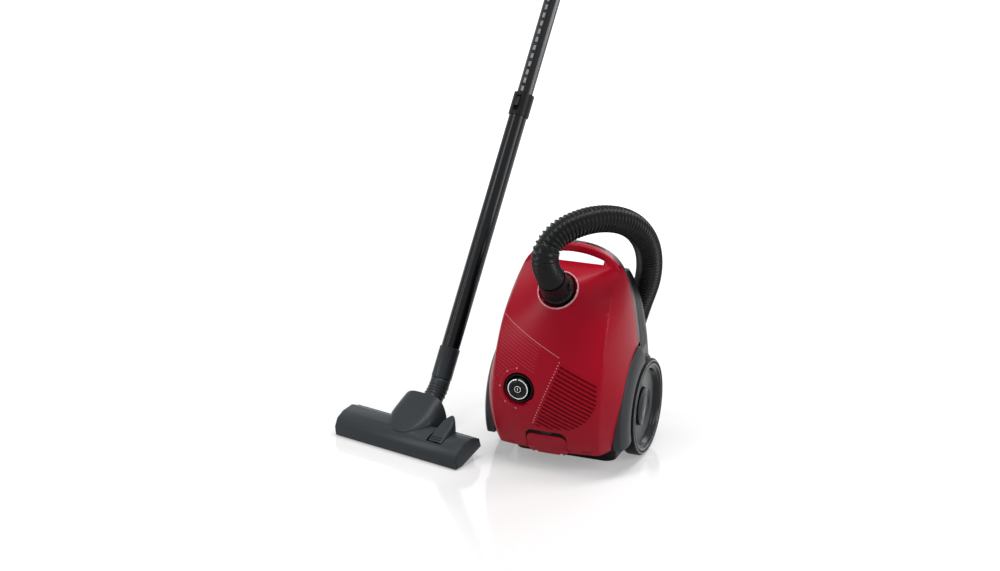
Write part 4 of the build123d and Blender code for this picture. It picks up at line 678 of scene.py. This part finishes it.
for side, hand in ((1, "Right"), (-1, "Left")):
    ribs = []
    for i in range(shellRibs["count"]):
        height = shellRibs["lowest"] + i * shellRibs["pitch"]
        backY = alongPairs(shellRibs["backY"], height)
        ribs.append(sideStrip(side, shellRibs["frontY"], backY, height, shellRibs["width"]))
    layOn(ribs, "shellRibs" + hand, finished["base_shell"], shellRibs["height"],
          looks["shell_black"], "canister", axis="x", outward=side)
print("shell ribs laid")


# Small turned and boxed parts

smallPart = {"smooth": 40, "ringSides": 72, "ringFacets": 10, "rayStart": 0.3}


def seatOn(obj, start, heading):
    # First point of a piece's surface along a ray
    tree = BVHTree.FromObject(obj, bpy.context.evaluated_depsgraph_get())
    return tree.ray_cast(Vector(start), Vector(heading))[0]


def frontOf(obj, x, z):
    return seatOn(obj, (x, -smallPart["rayStart"], z), (0, 1, 0))


def sideOf(obj, side, y, z):
    return seatOn(obj, (side * smallPart["rayStart"], y, z), (-side, 0, 0))


def settle(name, material, body):
    piece = bpy.context.object
    piece.name = name
    applyPlace()
    dress(piece, smallPart["smooth"], material, body)


def ring(name, spot, turn, radius, thick, material, body):
    deselectAll()
    bpy.ops.mesh.primitive_torus_add(
        major_radius=radius, minor_radius=thick, major_segments=smallPart["ringSides"],
        minor_segments=smallPart["ringFacets"], location=spot, rotation=turn)
    settle(name, material, body)


def block(name, spot, turn, size, material, body):
    deselectAll()
    bpy.ops.mesh.primitive_cube_add(size=1, location=spot, rotation=turn)
    bpy.context.object.scale = size
    settle(name, material, body)


# Fender tails cut back to the tray
fenderTail = {"spot": (0, 0.016, 0.006), "facing": (0, 0.7071, -0.7071)}
for hand in ("right", "left"):
    editAll(finished[hand + "_fender"])
    bpy.ops.mesh.bisect(plane_co=fenderTail["spot"], plane_no=fenderTail["facing"],
                        use_fill=True, clear_outer=True)
    leaveEdit()

# Walls of the wheel wells cut level with the fenders' feet
wellFoot = {"outsideX": 0.0885, "z": 0.036}
shell = finished["base_shell"]
clearSelection(shell, "VERT")
for vertex in shell.data.vertices:
    vertex.select = abs(vertex.co.x) > wellFoot["outsideX"]
enterEdit()
bpy.ops.mesh.bisect(plane_co=(0, 0, wellFoot["z"]), plane_no=(0, 0, 1),
                    use_fill=True, clear_inner=True)
leaveEdit()

# Raised rings on the wheels: radius, thickness, finish; the light grey of the two outer rings is
# a painted highlight along the rim edges
wheel = {
    "y": 0.045,
    "z": 0.0826,
    "rings": ((0.0785, 0.0009, "rim_highlight_and_pad_grey"), (0.0715, 0.0007, "rim_highlight_and_pad_grey"),
              (0.020, 0.0004, "tyre_black")),
}
for side, hand in ((1, "right"), (-1, "left")):
    for radius, thick, finish in wheel["rings"]:
        seats = [sideOf(finished[hand + "_wheel_" + piece], side, wheel["y"], wheel["z"] + radius)
                 for piece in ("tyre", "rim", "cap")]
        face = max((abs(seat.x) for seat in seats if seat), default=0)
        ring(hand + "WheelRing", (side * face, wheel["y"], wheel["z"]), (0, quarterTurn, 0),
             radius, thick, looks[finish], hand + "_wheel")
print("wheel rings laid")

# Power sign on the button, pointer on the silver ring
knob = {
    "signSeat": 0.0042,
    "signRadius": 0.0052,
    "signThick": 0.00045,
    "barRise": 0.0004,
    "barSize": (0.0010, 0.0009, 0.0044),
    "pointerRadius": 0.0158,
    "pointerSize": (0.0020, 0.0020, 0.0034),
}
buttonFace = frontOf(finished["power_button"], dialX + knob["signSeat"], dialZ).y
ring("powerSign", (dialX, buttonFace, dialZ), (quarterTurn, 0, 0), knob["signRadius"],
     knob["signThick"], looks["silver"], "power_button")
block("powerSignBar", (dialX, buttonFace, dialZ + knob["barRise"]), upright, knob["barSize"],
      looks["silver"], "power_button")
pointerZ = dialZ + knob["pointerRadius"]
ringFace = frontOf(finished["knob_ring"], dialX, pointerZ)
if ringFace:
    block("knobPointer", (dialX, ringFace.y, pointerZ), upright, knob["pointerSize"],
          looks["mark_dark"], "knob")

# Hook behind the latch tab
latch = {"tabZ": 0.066, "hookZ": 0.0705, "hookSize": (0.018, 0.004, 0.011), "sink": 0.0040}
tabFace = frontOf(finished["lid_latch"], 0, latch["tabZ"]).y
block("latchHook", (0, tabFace + latch["sink"], latch["hookZ"]), upright, latch["hookSize"],
      looks["mark_dark"], "latch")
print("knob and latch details laid")

# Floor nozzle details in its own turned frame: x across, y to the rear
nozzle = {
    "origin": (-0.2657, -0.1145, 0.0),
    "turn": -13.4,
    "bend": (0.0, 0.1201, 0.0710),
    "neckLean": 60.0,
    "wandLean": 29.0,
    "elbow": 0.0166,
    "neckRadius": 0.017,
    "ribShares": (-0.35, -0.12, 0.12, 0.35, 0.58, 0.8),
    "ribThick": 0.0009,
    "smooth": 40,
    "top": ((0.004, 0.032), (0.020, 0.040), (0.044, 0.043), (0.065, 0.035), (0.090, 0.034)),
}
endPlate = {
    "x": 0.1279,
    "thick": 0.0013,
    "edge": 0.0008,
    "edgeAngle": 60,
    "outline": ((0.002, 0.003), (-0.002, 0.017), (0.005, 0.0315), (0.0205, 0.0392),
                (0.044, 0.0422), (0.064, 0.0345), (0.0685, 0.0200), (0.010, 0.0025)),
}
cowl = {
    "frontY": 0.009,
    "run": 0.073,
    "lowZ": 0.0375,
    "rise": 0.044,
    "arch": 0.005,
    "half": 0.049,
    "frontPower": 2.2,
    "sidePower": 4.2,
    "sink": 0.002,
    "wall": 0.0022,
    "columns": 48,
    "rows": 40,
}
pedal = {
    "x": 0.075,
    "frontY": 0.0105,
    "run": 0.0535,
    "lowZ": 0.036,
    "rise": 0.031,
    "droop": 0.003,
    "half": 0.015,
    "straight": 0.55,
    "tailPower": 2.2,
    "sidePower": 9,
    "footZ": 0.028,
    "columns": 32,
    "rows": 36,
    "mergeGap": 0.00005,
    "ribs": ((0.075, 0.0145, 0.0388), (0.075, 0.0185, 0.0410)),
    "ribSize": (0.021, 0.0018, 0.0012),
    "ribSlope": 29.0,
}
turned = (Matrix.Translation(nozzle["origin"])
          @ Matrix.Rotation(math.radians(nozzle["turn"]), 4, "Z"))


def cowlPoint(across, share):
    y = cowl["frontY"] + cowl["run"] * share
    half = cowl["half"] * math.sqrt(max(0.0, 1 - (1 - share) ** cowl["frontPower"]))
    crown = cowl["lowZ"] + cowl["rise"] * share + cowl["arch"] * share * (1 - share)
    foot = alongPairs(nozzle["top"], y) - cowl["sink"]
    bow = math.sin(across * math.pi / 2)
    rise = (crown - foot) * max(0.0, 1 - abs(bow) ** cowl["sidePower"]) ** 0.5
    return Vector((half * bow, y, foot + rise))


def pedalPoint(across, share):
    tail = max(0.0, (share - pedal["straight"]) / (1 - pedal["straight"]))
    half = pedal["half"] * math.sqrt(max(0.0, 1 - tail ** pedal["tailPower"]))
    crown = pedal["lowZ"] + pedal["rise"] * share - pedal["droop"] * share * share
    bow = math.sin(across * math.pi / 2)
    rise = (crown - pedal["footZ"]) * max(0.0, 1 - abs(bow) ** pedal["sidePower"]) ** 0.5
    return Vector((pedal["x"] + half * bow, pedal["frontY"] + pedal["run"] * share,
                   pedal["footZ"] + rise))


def formedSheet(name, point, form):
    # Grid bent to a form in the nozzle's frame
    deselectAll()
    bpy.ops.mesh.primitive_grid_add(
        x_subdivisions=form["columns"], y_subdivisions=form["rows"], size=2)
    sheet = bpy.context.object
    sheet.name = name
    for vertex in sheet.data.vertices:
        vertex.co = turned @ point(vertex.co.x, (vertex.co.y + 1) / 2)
    sheet.data.update()
    return sheet


for side in (-1, 1):
    outline = [turned @ Vector((side * endPlate["x"], y, z)) for y, z in endPlate["outline"]]
    plate = bpy.data.meshes.new("nozzleEnd")
    plate.from_pydata(outline, [], [list(range(len(outline)))[::-side]])
    endCap = bpy.data.objects.new("nozzleEnd", plate)
    link(endCap)
    thicken(endCap, endPlate["thick"], 1.0)
    softenEdges(endCap, endPlate["edge"], endPlate["edgeAngle"])
    applyModifiers(endCap)
    dress(endCap, nozzle["smooth"], looks["nozzle_grey"], "nozzle")

neckCowl = formedSheet("neckCowl", cowlPoint, cowl)
thicken(neckCowl, cowl["wall"], -1.0)
applyModifiers(neckCowl)
dress(neckCowl, nozzle["smooth"], looks["nozzle_grey"], "nozzle")

# Rounded pedal in place of the plain one, closed underneath
pedalTongue = formedSheet("pedalTongue", pedalPoint, pedal)
editAll(pedalTongue)
bpy.ops.mesh.region_to_loop()
bpy.ops.mesh.edge_face_add()
bpy.ops.mesh.select_all(action="SELECT")
bpy.ops.mesh.remove_doubles(threshold=pedal["mergeGap"])
bpy.ops.mesh.normals_make_consistent(inside=False)
leaveEdit()
bpy.data.objects.remove(finished.pop("mode_pedal"))
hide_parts("mode_pedal")
dress(pedalTongue, nozzle["smooth"], looks["nozzle_grey"], "pedal")


def leaning(degrees):
    return Vector((0, math.sin(math.radians(degrees)), math.cos(math.radians(degrees))))


# Ribs around the neck and its elbow; a share below 0 lies on the straight neck
bend = Vector(nozzle["bend"])
elbowFoot = bend - leaning(nozzle["neckLean"]) * nozzle["elbow"]
elbowTop = bend + leaning(nozzle["wandLean"]) * nozzle["elbow"]
leanChange = nozzle["wandLean"] - nozzle["neckLean"]
for share in nozzle["ribShares"]:
    lean = nozzle["neckLean"] + leanChange * min(max(share, 0), 1)
    if share < 0:
        spot = elbowFoot + leaning(nozzle["neckLean"]) * share * 2 * nozzle["elbow"]
    else:
        spot = (elbowFoot * (1 - share) ** 2 + bend * 2 * share * (1 - share)
                + elbowTop * share ** 2)
    stand = turned @ Matrix.Translation(spot) @ Matrix.Rotation(-math.radians(lean), 4, "X")
    ring("neckRib", stand.to_translation(), stand.to_euler(), nozzle["neckRadius"],
         nozzle["ribThick"], looks["nozzle_grey"], "neck")

# Lock, slider and ratchet turned to the front of the wand, with grey pads in the notches
wand = {
    "turn": 50.0,
    "padFace": 275.0,
    "padSize": (0.0006, 0.0050, 0.0090),
    "padRadius": 0.0134,
    "padFoot": 0.5475,
    "padPitch": 0.015,
    "padCount": 17,
}
wandStand = (turned @ Matrix.Translation(bend)
             @ Matrix.Rotation(-math.radians(nozzle["wandLean"]), 4, "X"))
spin = (wandStand @ Matrix.Rotation(math.radians(wand["turn"]), 4, "Z")
        @ wandStand.inverted())
for node in ("inner_tube", "lock_collar", "lock_slider"):
    finished[node].data.transform(spin)
deselectAll()
bpy.ops.mesh.primitive_cube_add(size=1)
pads = bpy.context.object
pads.name = "ratchetPads"
pads.scale = wand["padSize"]
applyPlace()
row = pads.modifiers.new("row", "ARRAY")
row.use_relative_offset = False
row.use_constant_offset = True
row.constant_offset_displace = (0, 0, wand["padPitch"])
row.count = wand["padCount"]
applyModifiers(pads)
pads.data.transform(wandStand @ Matrix.Rotation(math.radians(wand["padFace"]), 4, "Z")
                    @ Matrix.Translation((wand["padRadius"], 0, wand["padFoot"])))
setMaterial(pads, looks["rim_highlight_and_pad_grey"])
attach(pads, "inner_tube")

for spot in pedal["ribs"]:
    slope = Matrix.Rotation(math.radians(pedal["ribSlope"]), 4, "X")
    stand = turned @ Matrix.Translation(spot) @ slope
    block("pedalRib", stand.to_translation(), stand.to_euler(), pedal["ribSize"],
          looks["mark_dark"], "pedal")
print("nozzle details laid")

# Suction hose along the route of the solid; rib pairs a share of the pitch with a radius
hose = {
    "ribs": 152,
    "crest": 0.022,
    "sides": 40,
    "rib": ((0.0, 0.0190), (0.22, 0.0191), (0.36, 0.0211), (0.44, 0.0219), (0.50, 0.022),
            (0.56, 0.0219), (0.64, 0.0211), (0.78, 0.0191), (1.0, 0.0190)),
    "route": (
        (0.0, -0.08227, 0.33375), (0.0, -0.13131, 0.37791), (0.017, -0.111, 0.420),
        (0.062, -0.060, 0.436), (0.100, 0.004, 0.417), (0.115, 0.062, 0.366),
        (0.107, 0.106, 0.296), (0.076, 0.142, 0.224), (0.050, 0.166, 0.148),
        (0.016, 0.190, 0.072), (-0.028, 0.262, 0.023), (-0.066, 0.352, 0.023),
        (-0.100, 0.450, 0.023), (-0.128, 0.552, 0.023),
    ),
    "routeSteps": 24,
    "routeOrder": 3,
    "mergeGap": 0.0001,
    "smooth": 60,
    "bendStart": (0.0, -0.10, 0.36),
    "bendEnd": (0.10, 0.10, 0.31),
}
hoseLine = bpy.data.curves.new("hoseLine", "CURVE")
hoseLine.dimensions = "3D"
hoseLine.resolution_u = hose["routeSteps"]
spline = hoseLine.splines.new("NURBS")
spline.points.add(len(hose["route"]) - 1)
for point, spot in zip(spline.points, hose["route"]):
    point.co = (*spot, 1.0)
spline.order_u = hose["routeOrder"]
spline.use_endpoint_u = True
hoseGuide = bpy.data.objects.new("hoseGuide", hoseLine)
link(hoseGuide)
bpy.context.view_layer.update()
evaluated = hoseGuide.evaluated_get(bpy.context.evaluated_depsgraph_get())
lineMesh = bpy.data.meshes.new_from_object(evaluated)
hosePath = [vertex.co.copy() for vertex in lineMesh.vertices]
hoseLength = sum((b - a).length for a, b in zip(hosePath, hosePath[1:]))
pitch = hoseLength / hose["ribs"]

# One rib drawn out along x, repeated and bent along the route
deselectAll()
bpy.ops.mesh.primitive_circle_add(
    vertices=hose["sides"], radius=hose["rib"][0][1], rotation=(0, quarterTurn, 0))
suctionHose = bpy.context.object
suctionHose.name = "suctionHose"
applyPlace()
editAll(suctionHose)
for before, after in zip(hose["rib"], hose["rib"][1:]):
    step = (after[0] - before[0]) * pitch
    grow = after[1] / before[1]
    bpy.ops.mesh.extrude_region_move(TRANSFORM_OT_translate={"value": (step, 0, 0)})
    bpy.ops.transform.resize(value=(1, grow, grow), center_override=(after[0] * pitch, 0, 0))
leaveEdit()
repeat = suctionHose.modifiers.new("ribs", "ARRAY")
repeat.count = hose["ribs"]
repeat.use_merge_vertices = True
repeat.merge_threshold = hose["mergeGap"]
applyModifiers(suctionHose)
editAll(suctionHose)
bpy.ops.mesh.normals_make_consistent(inside=False)
leaveEdit()
follow = suctionHose.modifiers.new("route", "CURVE")
follow.object = hoseGuide
follow.deform_axis = "POS_X"
applyModifiers(suctionHose)
smoothByAngle(suctionHose, hose["smooth"])
setMaterial(suctionHose, looks["hose_black"])
bpy.data.objects.remove(hoseGuide)
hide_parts("suction_hose")
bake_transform(suctionHose)
print("hose", round(hoseLength, 3), "m")

# Floor, light and camera; floorNear and floorFar pair a distance with the floor's glow there,
# and each lamp has its place, width and height, and power
studio = {
    "floorSize": 14.0,
    "floorShade": 0.6,
    "floorRough": 0.09,
    "floorShine": 0.7,
    "floorNear": (0.6, 0.30),
    "floorFar": (2.0, 0.95),
    "fill": 0.2,
    "backdrop": 1.0,
    "lampAim": (0, 0, 0.15),
    "lamps": (
        ("keyBox", (-1.7, -1.7, 1.8), (0.9, 1.8), 30.0),
        ("sideBox", (2.2, -0.5, 1.3), (0.8, 1.6), 30.0),
        ("topBox", (0.1, -0.1, 2.4), (2.2, 0.45), 40.0),
        ("backBox", (0.7, 2.4, 1.7), (1.4, 1.2), 26.0),
    ),
    "cameraAim": (-0.138, 0.043, 0.264),
    "cameraBack": (0.35, -0.8785, 0.3256),
    "cameraReach": 3.285,
    "lens": 70.0,
    "sensor": 36.0,
}


def seenRays(tree):
    # 1 for rays from the camera and for those that gloss or glass sends on
    rays = tree.nodes.new("ShaderNodeLightPath")
    seen = rays.outputs["Is Camera Ray"]
    for kind in ("Is Glossy Ray", "Is Transmission Ray"):
        seen = mathNode(tree, "MAXIMUM", seen, rays.outputs[kind]).outputs["Value"]
    return seen


def turnTo(obj, heading):
    # Lamps and cameras look along their own -z
    obj.rotation_euler = heading.to_track_quat("-Z", "Y").to_euler()


deselectAll()
bpy.ops.mesh.primitive_plane_add(size=studio["floorSize"], location=(0, 0, 0))
floor = bpy.context.object
floor.name = "studioFloor"
floorFinish = bpy.data.materials.new("paleFloor")
floorFinish.use_nodes = True
floorTree = floorFinish.node_tree
floorShader = floorTree.nodes["Principled BSDF"]
floorShader.inputs["Base Color"].default_value = rgba([studio["floorShade"]] * 3)
floorShader.inputs["Roughness"].default_value = studio["floorRough"]
floorShader.inputs["Specular IOR Level"].default_value = studio["floorShine"]
glow = floorTree.nodes.new("ShaderNodeEmission")
floorPlace = floorTree.nodes.new("ShaderNodeTexCoord")
away = floorTree.nodes.new("ShaderNodeVectorMath")
away.operation = "LENGTH"
floorTree.links.new(floorPlace.outputs["Object"], away.inputs[0])
spread = floorTree.nodes.new("ShaderNodeMapRange")  # paler with the distance from the object
spread.interpolation_type = "SMOOTHSTEP"
for limit, (distance, strength) in (("Min", studio["floorNear"]), ("Max", studio["floorFar"])):
    spread.inputs["From " + limit].default_value = distance
    spread.inputs["To " + limit].default_value = strength
floorTree.links.new(away.outputs["Value"], spread.inputs["Value"])
lift = mathNode(floorTree, "MULTIPLY", seenRays(floorTree), spread.outputs["Result"])
floorTree.links.new(lift.outputs["Value"], glow.inputs["Strength"])
both = floorTree.nodes.new("ShaderNodeAddShader")
floorTree.links.new(floorShader.outputs["BSDF"], both.inputs[0])
floorTree.links.new(glow.outputs["Emission"], both.inputs[1])
floorTree.links.new(both.outputs["Shader"], floorTree.nodes["Material Output"].inputs["Surface"])
setMaterial(floor, floorFinish)

# A dim white world lights the object, and a full white one shows behind it
world = bpy.data.worlds.new("studio")
bpy.context.scene.world = world
world.use_nodes = True
sky = world.node_tree
dim, bright = sky.nodes["Background"], sky.nodes.new("ShaderNodeBackground")
choose = sky.nodes.new("ShaderNodeMixShader")
sky.links.new(seenRays(sky), choose.inputs["Fac"])
for light, strength, socket in ((dim, studio["fill"], 1), (bright, studio["backdrop"], 2)):
    light.inputs["Color"].default_value = (1, 1, 1, 1)
    light.inputs["Strength"].default_value = strength
    sky.links.new(light.outputs["Background"], choose.inputs[socket])
sky.links.new(choose.outputs["Shader"], sky.nodes["World Output"].inputs["Surface"])

for name, spot, size, power in studio["lamps"]:
    lampData = bpy.data.lights.new(name, "AREA")
    lampData.shape = "RECTANGLE"
    lampData.size, lampData.size_y = size
    lampData.energy = power
    lamp = bpy.data.objects.new(name, lampData)
    lamp.location = spot
    turnTo(lamp, Vector(studio["lampAim"]) - Vector(spot))
    link(lamp)

cameraData = bpy.data.cameras.new("photoCamera")
cameraData.lens = studio["lens"]
cameraData.sensor_width = studio["sensor"]
camera = bpy.data.objects.new("photoCamera", cameraData)
back = Vector(studio["cameraBack"]).normalized()
camera.location = Vector(studio["cameraAim"]) + back * studio["cameraReach"]
turnTo(camera, -back)
link(camera)
bpy.context.scene.camera = camera
print("studio ready")
